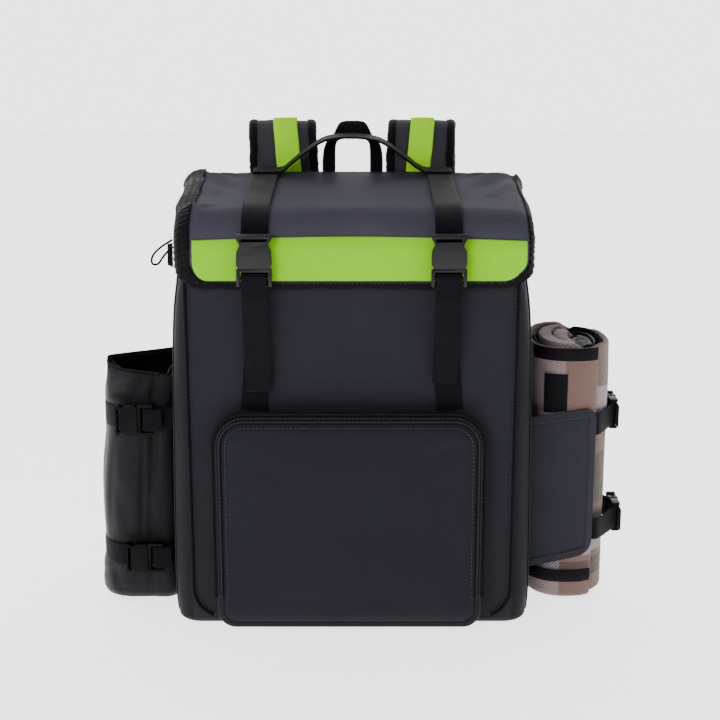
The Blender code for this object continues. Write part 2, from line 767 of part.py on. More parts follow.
def plug_mesh(kind):
    """Two rails joined by a beam, a webbing bar and an end bar, with prongs that reach into the socket."""
    size = BUCKLE_SIZES[kind]
    half = size["width"] / 2
    length = size["plug"]
    tip = 0.55 * size["socket"]
    in_rails = half - PAST

    def piece(layer, x_low, x_high, z_low, z_high):
        back, front = PLUG_DEPTHS[layer]
        return box_shape((x_low, -front * BUCKLE_T, z_low), (x_high, -back * BUCKLE_T, z_high))

    rail_in = size["webbing"] / 2 + 2 * GAP
    prong_out = half * SOCKET_SIDE[0][0] - BUCKLE_WALL - GAP
    joins = []
    for side in (-1, 1):
        joins.append(piece("rail", *sorted((side * rail_in, side * half)), -length, -GAP))
        across = sorted((side * (prong_out - PRONG_W), side * prong_out))
        joins.append(piece("prong", *across, -BEAM_L + PAST, tip))
    joins.append(piece("tongue", -PRONG_W, PRONG_W, -BEAM_L + PAST, tip))
    end_z = SLIVER - length
    joins.append(piece("end_bar", -in_rails, in_rails, end_z, end_z + END_BAR_L))
    turn = Matrix.Rotation(pi / 2, 4, "Y")
    joins.append(cylinder_shape((0, -BAR_DEEP, -BAR_IN), BAR_R, 2 * in_rails - PAST, turn))
    beam = piece("beam", -in_rails, in_rails, -BEAM_L, -GAP - SLIVER)
    return combined_mesh(kind + "_plug", beam, [("UNION", shape) for shape in joins])


def facing(origin, up, out):
    """Placement of a buckle: its socket end points up and its front points out."""
    back = -Vector(out).normalized()
    along = Vector(up).normalized()
    turn = Matrix((back.cross(along), back, along)).transposed().to_4x4()
    return Matrix.Translation(origin) @ turn


def place_buckle(label, meshes, matrix):
    """Both halves of a buckle at one place."""
    for half, data in zip(("socket", "plug"), meshes):
        copy = data.copy()
        copy.name = f"{label}_{half}"
        made = add_object(copy.name, copy, (PLASTIC, 0.35))
        made.matrix_world = matrix


LOOP_R = BAR_R + GAP + WEBBING_T / 2     # middle of the webbing round a bar


def bar_loop(kind, matrix):
    """Webbing round the plug's bar: in behind the end bar, round, and out in front of it."""
    end = BUCKLE_SIZES[kind]["plug"]
    at_end = (-end - END_BAR_L / 2, -end + END_BAR_L / 2)
    back = [(LOOP_R - BAR_DEEP, z) for z in at_end]
    turn = [(LOOP_R * cos(pi * k / 8) - BAR_DEEP, LOOP_R * sin(pi * k / 8) - BAR_IN) for k in range(9)]
    front = [(-LOOP_R - BAR_DEEP, z) for z in at_end[::-1]]
    return [matrix @ Vector((0, y, z)) for y, z in back + turn + front]


def front_buckle_place(side):
    """The placement of a front buckle on the lid strap."""
    lean = radians(FRONT_BUCKLE_LEAN)
    origin = on_flap(side * STRAP_X, buckle_at(), BUCKLE_BACK + LEAN_CLEAR)
    return facing(origin, (0, sin(lean), cos(lean)), (0, -cos(lean), sin(lean)))


def front_buckles(meshes):
    for label, side in (("left", -1), ("right", 1)):
        place_buckle("front_buckle_" + label, meshes["front"], front_buckle_place(side))


def front_straps():
    """Webbing from the pocket's top seam up to each plug, round its bar and down as a free tail."""
    for label, side, tail_down in zip(("left", "right"), (-1, 1), TAIL_DOWN):
        tail_end = BODY_H - BUCKLE_DOWN - tail_down
        loop = bar_loop("front", front_buckle_place(side))
        x = side * STRAP_X
        seam_z = POCKET_BASE_GAP + POCKET_H + SEAM_UP
        middle_z = (seam_z + loop[0].z) / 2
        under = smooth_path([
            Vector((x, -body_half_depth(seam_z) - GAP - WEBBING_T / 2, seam_z)),
            Vector((x, -body_half_depth(middle_z) - 3 * GAP - WEBBING_T / 2, middle_z)),
            loop[0] + Vector((0, GAP, -WEBBING / 2)),
            loop[0],
        ], 4)
        low = loop[-1]
        tail_y = -body_half_depth(tail_end) - TAIL_OFF
        tail = smooth_path([
            low,
            Vector((x, low.y - GAP, low.z - WEBBING * 0.6)),
            Vector((x, (low.y + tail_y) / 2 - TAIL_BOW, (tail_end + low.z) / 2)),
            Vector((x, tail_y, tail_end)),
        ], 4)
        path = under[:-1] + loop + tail[1:]
        ribbon("front_strap_" + label, path, WEBBING - 2 * GAP, WEBBING_T, (BLACK, 0.8))


# Front pocket: outlines in (x, z) on the front of the body

def pocket_outline(inset, steps=5):
    half = POCKET_W / 2 - inset
    low = POCKET_BASE_GAP + inset
    high = POCKET_BASE_GAP + POCKET_H - inset
    radius = max(POCKET_CORNER - inset, SMALL_CORNER)
    return rounded_outline(half, low, high, max(radius * 0.6, SMALL_CORNER), radius, steps)


def pocket_back_y():
    """The plane where the pocket is sewn on, clear of the body's slightly bowed front."""
    return -max(body_half_depth(POCKET_H * k / 10) for k in range(11)) - GAP


def front_pocket():
    """A shallow padded box, open where it is sewn to the body."""
    front = pocket_front_y()
    # Distance inside the outline, distance behind the front plane
    steps = [(POCKET_ROUND * inward, POCKET_ROUND * back) for inward, back in POCKET_ROUNDING]
    steps += [(POCKET_EDGE, 0.0), (POCKET_EDGE + POCKET_STEP, -POCKET_STEP)]
    for reach, puff in POCKET_PUFFING:
        steps.append((POCKET_EDGE + POCKET_PUFF_REACH * reach, -POCKET_STEP - POCKET_PUFF * puff))

    def ring(inset, y):
        return [Vector((x, y, z)) for x, z in pocket_outline(inset)]

    loops = [ring(inset, front + depth) for inset, depth in steps[::-1]]
    loops += [ring(0.0, pocket_back_y()), ring(POCKET_WALL, pocket_back_y())]
    loops += [ring(inset + POCKET_WALL, front + depth + POCKET_WALL) for inset, depth in steps]
    return loft("front_pocket", loops[::-1], (CHARCOAL, 0.7))


def pocket_front_y():
    return pocket_back_y() - POCKET_D


def pocket_trim():
    """Piping along the pocket's outer edge, and the zip on the strip inside it."""
    low = POCKET_BASE_GAP + TRIM_UP
    half = POCKET_W / 2
    high = POCKET_BASE_GAP + POCKET_H
    front = pocket_front_y()

    def arch(inset):
        radius = POCKET_CORNER - inset
        side = [(half - inset, low + (high - POCKET_CORNER - low) * k / 4) for k in range(4)]
        turn = arc((half - inset - radius, high - inset - radius), radius, 0, 90, 6)
        right = side + turn
        return right + [(-x, z) for x, z in right[::-1]]

    off = PIPING_R + GAP
    rim = [Vector((x, front + PIPING_R, z)) for x, z in arch(-off)]
    tube("pocket_piping", rim, PIPING_R, (BLACK, 0.6))
    zip_in = POCKET_EDGE - GAP - ZIP_W
    y = front - GAP - ZIP_T / 2
    rows = [
        (Vector((a[0], y, a[1])), Vector((b[0], y, b[1])))
        for a, b in zip(arch(zip_in), arch(zip_in + ZIP_W))
    ]
    sheet("pocket_zip", rows, ZIP_T, (BLACK, 0.5))


# Handles

def lid_top_at(x, y, off):
    """Point on the top of the flap above a place."""
    places = [on_flap(x, FLAP_L * k / 300, off) for k in range(150)]
    return min(places, key=lambda p: abs(p.y - y))


def carry_handle():
    """Webbing from one lid strap to the other, lying flat at its tabs and arched between them."""
    off = STRAP_OFF + WEBBING_T / 2 + GAP + HANDLE_T / 2
    base = lid_top_at(STRAP_X, HANDLE_Y, off).z
    slope = atan2(RIM_FALL, BODY_D)
    half = HANDLE_SPAN / 2
    right = [Vector((half * out, HANDLE_Y, base + HANDLE_RISE * up)) for out, up in HANDLE_ARCH]
    right.append(Vector((half + TAB_L, HANDLE_Y, base - GAP / 2)))
    points = [Vector((-p.x, p.y, p.z)) for p in right[:0:-1]] + right
    across = Vector((0, cos(slope), sin(slope)))
    return ribbon("carry_handle", smooth_path(points, 4), WEBBING, HANDLE_T, (BLACK, 0.8), across)


def rear_wall(z, off):
    return body_half_depth(min(z, BODY_H)) + off


def grab_loop():
    """A folded webbing loop that stands up behind the lid: two legs under a trapezoid band."""
    rise = FLAP_T + LOOP_RISE
    foot = BODY_H - LOOP_FOOT

    def stand(x, z):
        return Vector((x, rear_wall(z, 2 * GAP + LOOP_T / 2), z))

    half = [(stand(LOOP_OUTER, z), stand(LOOP_GAP, z)) for z in (foot, foot + 0.8 * LOOP_FOOT)]
    for outer, up, inner, inner_up in LOOP_SECTIONS:
        half.append((
            stand(LOOP_OUTER * outer, BODY_H + rise * up),
            stand(LOOP_GAP * inner, BODY_H + (rise - LOOP_BAND) * inner_up),
        ))
    other = [tuple(Vector((-p.x, p.y, p.z)) for p in row) for row in half[-2::-1]]
    return sheet("grab_loop", half + other, LOOP_T, (BLACK, 0.8))


# Back panel and shoulder straps

def back_panel():
    """A flat pad on the rear wall with bevelled edges."""
    half_h = BACK_PANEL_H / 2
    middle = BACK_PANEL_Z + half_h
    corner = BACK_PANEL_CORNER
    outline = rounded_outline(BACK_PANEL_W / 2, middle - half_h, middle + half_h, corner, corner)
    near = max(rear_wall(z, GAP) for z in (middle - half_h, 0.4 * BODY_H, middle, middle + half_h))
    loops = []
    for out, size in ((0.0, 1.0), (0.6, 1.0), (1.0, 0.95)):
        y = near + BACK_PANEL_T * out
        loops.append([Vector((x * size, y, middle + (z - middle) * size)) for x, z in outline])
    return loft("back_panel", loops, (BLACK, 0.85))


def shoulder_route():
    """Side view of a shoulder strap's middle layer, from the top of the rear wall to its lower end."""
    off = 2 * GAP + SHOULDER_T / 2
    return smooth_path([
        Vector((0, rear_wall(share * BODY_H, off) + out * SHOULDER_REACH, share * BODY_H))
        for share, out in SHOULDER_ROUTE
    ], 4)


def shoulder_rows(side_view, side):
    """Rows across the padded strap, and those of the coloured strip on its outer face."""
    count = len(side_view) - 1
    padded, strip = [], []
    for k, p in enumerate(side_view):
        t = k / count
        middle = SHOULDER_X + SHOULDER_SPLAY * min(t / 0.35, 1.0)
        middle += (SHOULDER_FOOT_X - SHOULDER_X - SHOULDER_SPLAY) * max((t - 0.4) / 0.6, 0.0) ** 1.5
        width = SHOULDER_W * (1 - 0.36 * max((t - 0.78) / 0.22, 0.0) ** 1.3)
        ahead = side_view[min(k + 1, count)] - side_view[max(k - 1, 0)]
        out = Vector((0, -ahead.z, ahead.y)).normalized()
        here = Vector((side * middle, p.y, p.z))
        reach = Vector((width / 2, 0, 0))
        padded.append([here - reach, here, here + reach])
        if 4 < k <= count - 2:
            face = here + out * (SHOULDER_T / 2 + GAP + LIME_T / 2)
            reach = Vector((SHOULDER_LIME_W / 2, 0, 0))
            strip.append([face - reach, face + reach])
    return padded, strip


def ladder_lock(label, place):
    """A plate with two slots for webbing, below the end of a padded strap."""
    def slot(low, high):
        reach = WEBBING / 2 + GAP
        return box_shape((-reach, -LADDER_T, -high * LADDER_H), (reach, LADDER_T, -low * LADDER_H))

    plate = box_shape((-LADDER_W / 2, -LADDER_T / 2, -LADDER_H), (LADDER_W / 2, LADDER_T / 2, 0))
    name = "ladder_lock_" + label
    data = combined_mesh(name, plate, [("DIFFERENCE", slot(*shares)) for shares in LADDER_SLOTS])
    add_object(name, data, (PLASTIC, 0.35)).location = place


def shoulder_straps():
    """Padded straps from the top of the rear wall, over and down, and webbing to the wall's foot."""
    side_view = shoulder_route()
    for label, side in (("left", -1), ("right", 1)):
        rows, strip = shoulder_rows(side_view, side)
        sheet("shoulder_strap_" + label, rows, SHOULDER_T, (BLACK, 0.85))
        sheet("shoulder_lime_" + label, strip, LIME_T, (LIME, 0.45))
        x, y, z = rows[-1][1]
        top = z - GAP - SHOULDER_T / 2
        ladder_lock(label, (x, y, top))
        foot_y = rear_wall(FOOT_Z, 2 * GAP + WEBBING_T / 2)
        lock_y = y + LADDER_T / 2 + 2 * GAP + WEBBING_T / 2
        path = smooth_path([
            Vector((x, lock_y, top - 0.45 * LADDER_H)),
            Vector((x, lock_y, top - 0.75 * LADDER_H)),
            Vector((x, lock_y, top - 1.05 * LADDER_H)),
            Vector((x, (lock_y + foot_y) / 2 + FOOT_SLACK, (top - LADDER_H + FOOT_Z) / 2)),
            Vector((x, foot_y + FOOT_SLACK, FOOT_Z + 0.4 * WEBBING)),
            Vector((x, foot_y + GAP, FOOT_Z)),
            Vector((x, foot_y, FOOT_Z - 0.4 * WEBBING)),
        ], 3)
        ribbon("shoulder_webbing_" + label, path, WEBBING, WEBBING_T, (BLACK, 0.8))


# Rounded upright forms on the body's sides

def side_outline(inset, near):
    """The pouch's D-shaped outline beside the body, as (x, y), its flat side towards the body."""
    near += inset
    far = near + POUCH_W - 2 * inset
    half = POUCH_D / 2 - inset
    outer = max(POUCH_CORNER - inset, SMALL_CORNER)
    inner = max(POUCH_FOLD - inset, SMALL_CORNER)
    points = arc((far - outer, -half + outer), outer, 270, 360, 5)
    points += arc((far - outer, half - outer), outer, 0, 90, 5)
    points += arc((near + inner, half - inner), inner, 90, 180, 3)
    points += arc((near + inner, -half + inner), inner, 180, 270, 3)
    return [(-x, y) for x, y in points]


def pouch_side_x():
    """The pouch's distance from the middle, clear of the body's side at its widest."""
    span = POUCH_RIM_Z - POUCH_BASE_Z
    return max(body_half_width(POUCH_BASE_Z + span * k / 10) for k in range(11)) + GAP


def side_pouch():
    """A pouch of even wall, open at its rim, which is lower at the front."""
    near = pouch_side_x()

    def ring(share, inset, lift=0.0):
        loop = []
        for x, y in side_outline(inset, near):
            rim = POUCH_RIM_Z - POUCH_RIM_DIP * max(-y, 0.0) / (POUCH_D / 2)
            loop.append(Vector((x, y, POUCH_BASE_Z + share * (rim - POUCH_BASE_Z) + lift)))
        return loop

    sections = [(share, POUCH_BASE_EDGE * inset) for share, inset in POUCH_SECTIONS]
    loops = [ring(share, inset) for share, inset in sections]
    for share, inset in sections[::-1]:
        on_base = share <= POUCH_SECTIONS[1][0]
        loops.append(ring(share, inset + POUCH_WALL, POUCH_WALL if on_base else 0.0))
    return loft("side_pouch", loops, (BLACK, 0.5))


def wrap_path(off, near):
    """A line round the outside of the pouch: (x, y) from its front to its rear, off its surface."""
    far = near + POUCH_W + off
    half = POUCH_D / 2 + off
    radius = POUCH_CORNER + off
    front = [(near + SEWN_EDGE, -half), (far - radius, -half)]
    turn = arc((far - radius, -half + radius), radius, 270, 360, 5)[1:]
    back = arc((far - radius, half - radius), radius, 0, 90, 5)
    rear = [(near + SEWN_EDGE, half)]
    return [(-x, y) for x, y in front + turn + back + rear]


def rest_of_path(path, start):
    """What is left of a path (x, y) past a length along it."""
    run = 0.0
    for k, (a, b) in enumerate(zip(path, path[1:])):
        step = hypot(b[0] - a[0], b[1] - a[1])
        if run + step > start:
            t = (start - run) / step
            return [(a[0] + (b[0] - a[0]) * t, a[1] + (b[1] - a[1]) * t), *path[k + 1:]]
        run += step
    return path[-2:]


def upright_ribbon(name, path, z):
    """Webbing standing on edge along a path (x, y), at one height."""
    half = SIDE_WEBBING / 2 - GAP
    rows = [[Vector((p[0], p[1], z - half)), Vector((p[0], p[1], z + half))] for p in path]
    return sheet(name, rows, WEBBING_T, (BLACK, 0.8))


def pouch_straps(meshes):
    """Two straps round the pouch, each with its buckle on the front, the plug towards the body."""
    near = pouch_side_x()
    off = GAP + WEBBING_T / 2
    path = wrap_path(off, near)
    front_y = -POUCH_D / 2 - off
    socket = BUCKLE_SIZES["side"]["socket"]
    for label, z, x_of in zip(("upper", "lower"), POUCH_STRAP_Z, POUCH_BUCKLE_X):
        origin = Vector((-(near + x_of), front_y - WEBBING_T / 2 - GAP, z))
        place = facing(origin, (-1, 0, 0), (0, -1, 0))
        place_buckle("pouch_buckle_" + label, meshes["side"], place)
        loop = bar_loop("side", place)
        edge = Vector((-(near + 3 * GAP), front_y, z))
        path_in = smooth_path([edge, edge.lerp(loop[0], 0.5), loop[0]], 3)
        tail = loop[-1] + (loop[-1] - loop[-2]).normalized() * SIDE_TAIL
        upright_ribbon(f"pouch_strap_{label}_front", path_in[:-1] + loop + [tail], z)
        start = x_of - SEWN_EDGE + socket * 0.55
        upright_ribbon(f"pouch_strap_{label}_round", rest_of_path(path, start), z)


# Blanket

def roll_centre():
    return roll_near() + ROLL_W / 2


def roll_near():
    span = ROLL_TOP_Z - ROLL_BASE_Z
    return max(body_half_width(ROLL_BASE_Z + span * k / 10) for k in range(11)) + GAP


def roll_point(turn, inward):
    """A point (x, y) of the roll at an angle in turns, inward from its outside; inner turns drift."""
    angle = 2 * pi * turn
    rx = ROLL_W / 2 - inward
    ry = ROLL_D / 2 - inward
    c, s = cos(angle), sin(angle)
    x = rx * abs(c) ** ROLL_SQUARE * (1 if c >= 0 else -1)
    y = ry * abs(s) ** ROLL_SQUARE * (1 if s >= 0 else -1)
    drift = max(inward, 0.0)
    return Vector((roll_centre() + x + ROLL_DRIFT[0] * drift, y + ROLL_DRIFT[1] * drift))


def blanket_roll():
    """The folded blanket wound into a flattened roll, its outer edge lapped at the front."""
    steps_a_turn = 28
    count = int(steps_a_turn * ROLL_TURNS)
    outer, inner = [], []
    for k in range(count + 1):
        turns = k / steps_a_turn
        inward = ROLL_PITCH * turns
        outer.append(roll_point(ROLL_OVERLAP + turns, inward))
        inner.append(roll_point(ROLL_OVERLAP + turns, inward + ROLL_LAYER))
    outline = outer + inner[::-1]
    loops = [[Vector((p.x, p.y, z)) for p in outline] for z in (ROLL_BASE_Z, ROLL_TOP_Z)]
    return loft("blanket_roll", loops, (TAN, 0.95))


def blanket_core():
    """What the roll is wound on."""
    inward = ROLL_PITCH * (ROLL_TURNS - 1) + ROLL_LAYER + CORE_CLEAR
    last = ROLL_OVERLAP + ROLL_TURNS
    outline = [roll_point(last + k / 24, inward + ROLL_PITCH * k / 24) for k in range(24)]
    loops = [[Vector((p.x, p.y, z)) for p in outline] for z in (ROLL_BASE_Z, ROLL_TOP_Z - CORE_DOWN)]
    return loft("blanket_core", loops, (BLACK, 0.6))


def roll_strip(name, low_of, high, turns, steps=14):
    """A thin strip on the roll's outer turn; its lower edge is a function of x."""
    rows = []
    for k in range(steps + 1):
        p = roll_point(turns[0] + (turns[1] - turns[0]) * k / steps, -GAP - ROLL_BAND_T / 2)
        rows.append([Vector((p.x, p.y, low_of(p.x))), Vector((p.x, p.y, high))])
    return sheet(name, rows, ROLL_BAND_T, (BLACK, 0.7))


def blanket_trim():
    """Black binding along both hems of the outer turn, and the dark patch above the wing."""
    top = ROLL_TOP_Z - ROLL_BAND_W
    low = ROLL_BASE_Z + LOW_BAND_UP
    roll_strip("blanket_binding_top", lambda x: top, ROLL_TOP_Z, HEM_TURNS)
    roll_strip("blanket_binding_base", lambda x: low, low + ROLL_BAND_W, HEM_TURNS)
    wing = lambda x: holder_edge(x, HOLDER_TOP_Z) + 2 * GAP
    roll_strip("blanket_patch", wing, PATCH_TOP_Z, PATCH_TURNS, 5)


HOLDER_OFF = GAP + HOLDER_T / 2      # the wing's middle layer off the roll


def holder_line():
    """The wing's middle layer from the body's side round the front of the roll, as (x, y)."""
    first, last = HOLDER_TURNS
    line = [roll_point(first + (last - first) * k / 12, -HOLDER_OFF) for k in range(13)]
    return [Vector((roll_near() + GAP / 2, line[0].y)), *line]


def holder_edge(x, heights):
    """Height of the wing's upper or lower edge at an x."""
    line = holder_line()
    t = (x - line[0].x) / (line[-1].x - line[0].x)
    return heights[0] + (heights[1] - heights[0]) * t


def blanket_holder():
    """The cloth wing sewn to the body's side that folds over the front of the roll."""
    line = holder_line()
    rows = []
    for p in line:
        low, high = holder_edge(p.x, HOLDER_BASE_Z), holder_edge(p.x, HOLDER_TOP_Z)
        left = line[-1].x - p.x
        cut = 0.0
        if left < HOLDER_CORNER:
            cut = HOLDER_CORNER - sqrt(HOLDER_CORNER ** 2 - (HOLDER_CORNER - left) ** 2)
        rows.append([Vector((p.x, p.y, low + cut + (high - low - 2 * cut) * j / 4)) for j in range(5)])
    return sheet("blanket_holder", rows, HOLDER_T, (CHARCOAL, 0.6))


def blanket_straps(meshes):
    """Straps from the wing's free edge round the roll to the body, with buckles on the far side."""
    size = BUCKLE_SIZES["side"]
    for label, z, along, stand in zip(("upper", "lower"), ROLL_STRAP_Z, ROLL_BUCKLE_Y, ROLL_BUCKLE_OFF):
        back_x = roll_centre() + ROLL_W / 2 + 2 * GAP + WEBBING_T + stand
        place = facing((back_x, along, z), (0, 1, 0), (1, 0, 0))
        place_buckle("blanket_buckle_" + label, meshes["side"], place)
        # From the wing's edge to the plug, round its bar, and back as a short tail
        loop = bar_loop("side", place)
        edge = roll_point(HOLDER_TURNS[1] + STRAP_TURNS, -HOLDER_OFF)
        bow = roll_point(HOLDER_TURNS[1] + STRAP_BOW_TURNS, -HOLDER_OFF - stand * 0.4)
        front = smooth_path([Vector((*edge, z)), Vector((*bow, z)), loop[0]], 4)
        tail = loop[-1] + (loop[-1] - loop[-2]).normalized() * SIDE_TAIL
        upright_ribbon(f"blanket_strap_{label}_front", front[:-1] + loop + [tail], z)
        # From behind the socket round the rear of the roll to the body
        behind = back_x - GAP - WEBBING_T / 2
        first, last = REAR_TURNS
        rear = [Vector((behind, along + size["socket"] * share)) for share in (0.5, 0.95)]
        rear += [roll_point(first + (last - first) * k / 8, -HOLDER_OFF) for k in range(9)]
        rear.append(Vector((roll_near() + GAP / 2, rear[-1].y + 2 * GAP)))
        upright_ribbon(f"blanket_strap_{label}_rear", rear, z)


def zip_pulls():
    """The slider on the left zip with its two pulls: a tape tab and a cord loop that hangs outward."""
    z = BODY_H - PULL_DOWN
    y = -body_half_depth(z) + MAIN_ZIP_Y + FRONT_CORNER / 4
    x = -(body_half_width(z) + 4 * GAP + ZIP_T + SLIDER_T / 2)
    half = Vector((SLIDER_T, SLIDER_W, SLIDER_L)) / 2
    mesh_object("zip_slider", box_shape(-half, half), (PLASTIC, 0.3, 0.8)).location = (x, y, z)
    face = x - SLIDER_T / 2 - GAP
    outline = [(face - TAB_W * out, z - PULL_TAB_L * down) for out, down in TAB_OUTLINE]
    tab_y = y - 0.2 * SLIDER_W
    mesh_object("zip_pull_tab", prism_shape(outline, tab_y - TAB_T, tab_y), (BLACK, 0.7))
    root = Vector((face - PULL_R, y + 0.38 * SLIDER_W, z + GAP))
    reach = Vector((-CORD_REACH[0], 0, -CORD_REACH[1]))
    swell = Vector((-CORD_SWELL[0], 0, CORD_SWELL[1]))
    route = smooth_path([root + reach * along + swell * off for along, off in CORD_ROUTE], 3)
    tube("zip_pull_cord", route, PULL_R, (BLACK, 0.7))


def build():
    clear_scene()
    body_shell()
    front_piping()
    main_zip()
    lid_flap()
    lid_binding()
    lime_band()
    lid_straps()
    meshes = {kind: (socket_mesh(kind), plug_mesh(kind)) for kind in BUCKLE_SIZES}
    front_buckles(meshes)
    front_straps()
    front_pocket()
    pocket_trim()
    carry_handle()
    grab_loop()
    back_panel()
    shoulder_straps()
    side_pouch()
    pouch_straps(meshes)
    blanket_roll()
    blanket_core()
    blanket_trim()
    blanket_holder()
    blanket_straps(meshes)
    zip_pulls()


build()
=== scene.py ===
# Backpack cooler: the looks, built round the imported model. Metres, +Z up, the front faces -Y.
import math
import bmesh
import bpy
import numpy as np
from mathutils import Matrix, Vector


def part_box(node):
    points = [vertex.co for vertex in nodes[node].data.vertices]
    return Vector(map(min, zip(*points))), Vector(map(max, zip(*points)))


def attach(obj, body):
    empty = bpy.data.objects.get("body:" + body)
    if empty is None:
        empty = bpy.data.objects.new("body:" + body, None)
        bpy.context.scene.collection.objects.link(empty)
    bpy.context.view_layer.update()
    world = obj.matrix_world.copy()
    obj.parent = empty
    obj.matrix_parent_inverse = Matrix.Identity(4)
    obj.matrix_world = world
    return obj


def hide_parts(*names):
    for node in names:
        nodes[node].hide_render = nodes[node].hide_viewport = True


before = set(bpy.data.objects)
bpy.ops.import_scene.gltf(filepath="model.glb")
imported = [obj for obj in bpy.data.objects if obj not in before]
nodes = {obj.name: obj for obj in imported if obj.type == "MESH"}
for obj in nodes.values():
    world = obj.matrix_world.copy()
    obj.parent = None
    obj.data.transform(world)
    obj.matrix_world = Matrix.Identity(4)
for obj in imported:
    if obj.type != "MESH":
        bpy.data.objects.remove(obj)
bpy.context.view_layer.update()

gap = 0.0004  # what touching pieces keep between them
print("frame loaded:", len(nodes), "nodes")


def boxOf(node):
    low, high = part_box(node)
    return np.array(low), np.array(high)


def centreOf(node):
    low, high = boxOf(node)
    return (low + high) / 2


# Shader maths: a Wire wraps one socket, and an expression on wires adds its Math nodes
class Wire:
    def __init__(self, bench, socket):
        self.bench, self.socket = bench, socket

    def math(self, operation, *values):
        return self.bench.node("ShaderNodeMath", {"operation": operation}, dict(enumerate(values)))

    def __add__(self, other):
        return self.math("ADD", self, other)

    def __sub__(self, other):
        return self.math("SUBTRACT", self, other)

    def __mul__(self, other):
        return self.math("MULTIPLY", self, other)

    def __truediv__(self, other):
        return self.math("DIVIDE", self, other)

    __radd__, __rmul__ = __add__, __mul__

    def sine(self):
        return self.math("SINE", self)

    def size(self):
        return self.math("ABSOLUTE", self)

    def most(self, other):
        return self.math("MAXIMUM", self, other)

    def part(self, axis):
        return self.bench.node("ShaderNodeSeparateXYZ", {}, {0: self}, axis)

    # 0 below low, 1 above high, smooth between
    def between(self, low, high):
        return self.bench.node("ShaderNodeMapRange", {"interpolation_type": "SMOOTHSTEP"},
                               {"Value": self, "From Min": low, "From Max": high})


class Bench:
    # One material: its Principled shader with the sockets that are the same all over
    def __init__(self, name, **sockets):
        self.material = bpy.data.materials.new(name)
        self.material.use_nodes = True
        self.tree = self.material.node_tree
        self.shader = self.tree.nodes["Principled BSDF"]
        for key, value in sockets.items():
            self.set(key.replace("_", " "), value)

    def set(self, key, value):
        socket = self.shader.inputs[key]
        if isinstance(value, Wire):
            self.tree.links.new(value.socket, socket)
        elif isinstance(value, tuple):
            socket.default_value = (*value, 1.0)[:4]
        else:
            socket.default_value = value

    def node(self, kind, settings, inputs, out=0):
        made = self.tree.nodes.new(kind)
        for key, value in settings.items():
            setattr(made, key, value)
        for key, value in inputs.items():
            if isinstance(value, Wire):
                self.tree.links.new(value.socket, made.inputs[key])
            elif isinstance(value, tuple) and len(value) == 3 and made.inputs[key].type == "RGBA":
                made.inputs[key].default_value = (*value, 1.0)
            else:
                made.inputs[key].default_value = value
        return Wire(self, made.outputs[out])

    def place(self):
        return self.node("ShaderNodeTexCoord", {}, {}, "Object")

    def uv(self):
        return self.node("ShaderNodeTexCoord", {}, {}, "UV")

    def noise(self, where, scale, detail=2.0, roughness=0.5):
        return self.node("ShaderNodeTexNoise", {},
                         {"Vector": where, "Scale": scale, "Detail": detail, "Roughness": roughness})

    def stretched(self, where, x, y, z):
        return self.node("ShaderNodeMapping", {}, {"Vector": where, "Scale": (x, y, z)})

    def mix(self, factor, first, second):
        return self.node("ShaderNodeMix", {"data_type": "RGBA"}, {0: factor, 6: first, 7: second}, 2)

    def bump(self, height, distance, strength=1.0, under=None):
        inputs = {"Height": height, "Distance": distance, "Strength": strength}
        if under is not None:
            inputs["Normal"] = under
        return self.node("ShaderNodeBump", {}, inputs)


# Woven cloth: crossed threads on the UV map in metres, soft mottling, broad creases
def clothMaterial(name, look):
    bench = Bench(name, Roughness=look["rough"], Sheen_Weight=look["sheen"], Sheen_Roughness=0.45,
                  Specular_IOR_Level=look["gloss"])
    uv, place = bench.uv(), bench.place()
    turn = 2 * math.pi / look["thread"]
    warp = (uv.part("X") * turn).sine()
    weft = (uv.part("Y") * turn).sine()
    weave = warp * weft * 0.5 + weft * look["rib"]
    slubs = bench.noise(bench.stretched(uv, 60, 900, 1), 1.0, 3.0)
    mottle = bench.noise(place, 26.0, 4.0)
    tone = (mottle - 0.5) * look["mottle"] + (slubs - 0.5) * look["slub"] + 0.5
    colour = bench.mix(tone, look["dark"], look["light"])
    if "sideFrom" in look:
        # painted shade: the cloth past the front panel's edge is darkened, for the side walls that turn away from
        # the light
        beyond = place.part("X").size().between(look["sideFrom"], look["sideFrom"] + 0.002)
        colour = bench.mix(beyond * 0.65, colour, (0.002, 0.002, 0.003))
    bench.set("Base Color", colour)
    bench.set("Roughness", (mottle - 0.5) * 0.2 + look["rough"])
    folds = bench.noise(bench.stretched(place, *look["foldStretch"]), 1.0, 3.0, 0.45)
    fine = bench.bump(weave + slubs * 0.8, look["weaveDepth"])
    bench.set("Normal", bench.bump(folds, look["foldDepth"], 1.0, fine))
    return bench.material


# Webbing: ribs across the length, a raised selvage, long threads, on the UV map in metres
def webbingMaterial(name, look):
    bench = Bench(name, Roughness=look["rough"], Sheen_Weight=look["sheen"], Sheen_Roughness=0.4,
                  Specular_IOR_Level=0.04)
    uv, place = bench.uv(), bench.place()
    turn = 2 * math.pi / look["pitch"]
    along = (uv.part("Y") * turn).sine()
    across = (uv.part("X") * turn * 0.6).sine()
    ribs = along * 0.6 + along * across * 0.4
    fuzz = bench.noise(bench.stretched(uv, 700, 160, 1), 1.0, 2.0)
    wear = bench.noise(place, 38.0, 4.0)
    tone = ribs * 0.10 + (fuzz - 0.5) * 0.7 + (wear - 0.5) * 0.6 + 0.45
    bench.set("Base Color", bench.mix(tone, look["dark"], look["light"]))
    bench.set("Roughness", (wear - 0.5) * 0.25 + look["rough"])
    bench.set("Normal", bench.bump(ribs + fuzz, look["depth"]))
    return bench.material


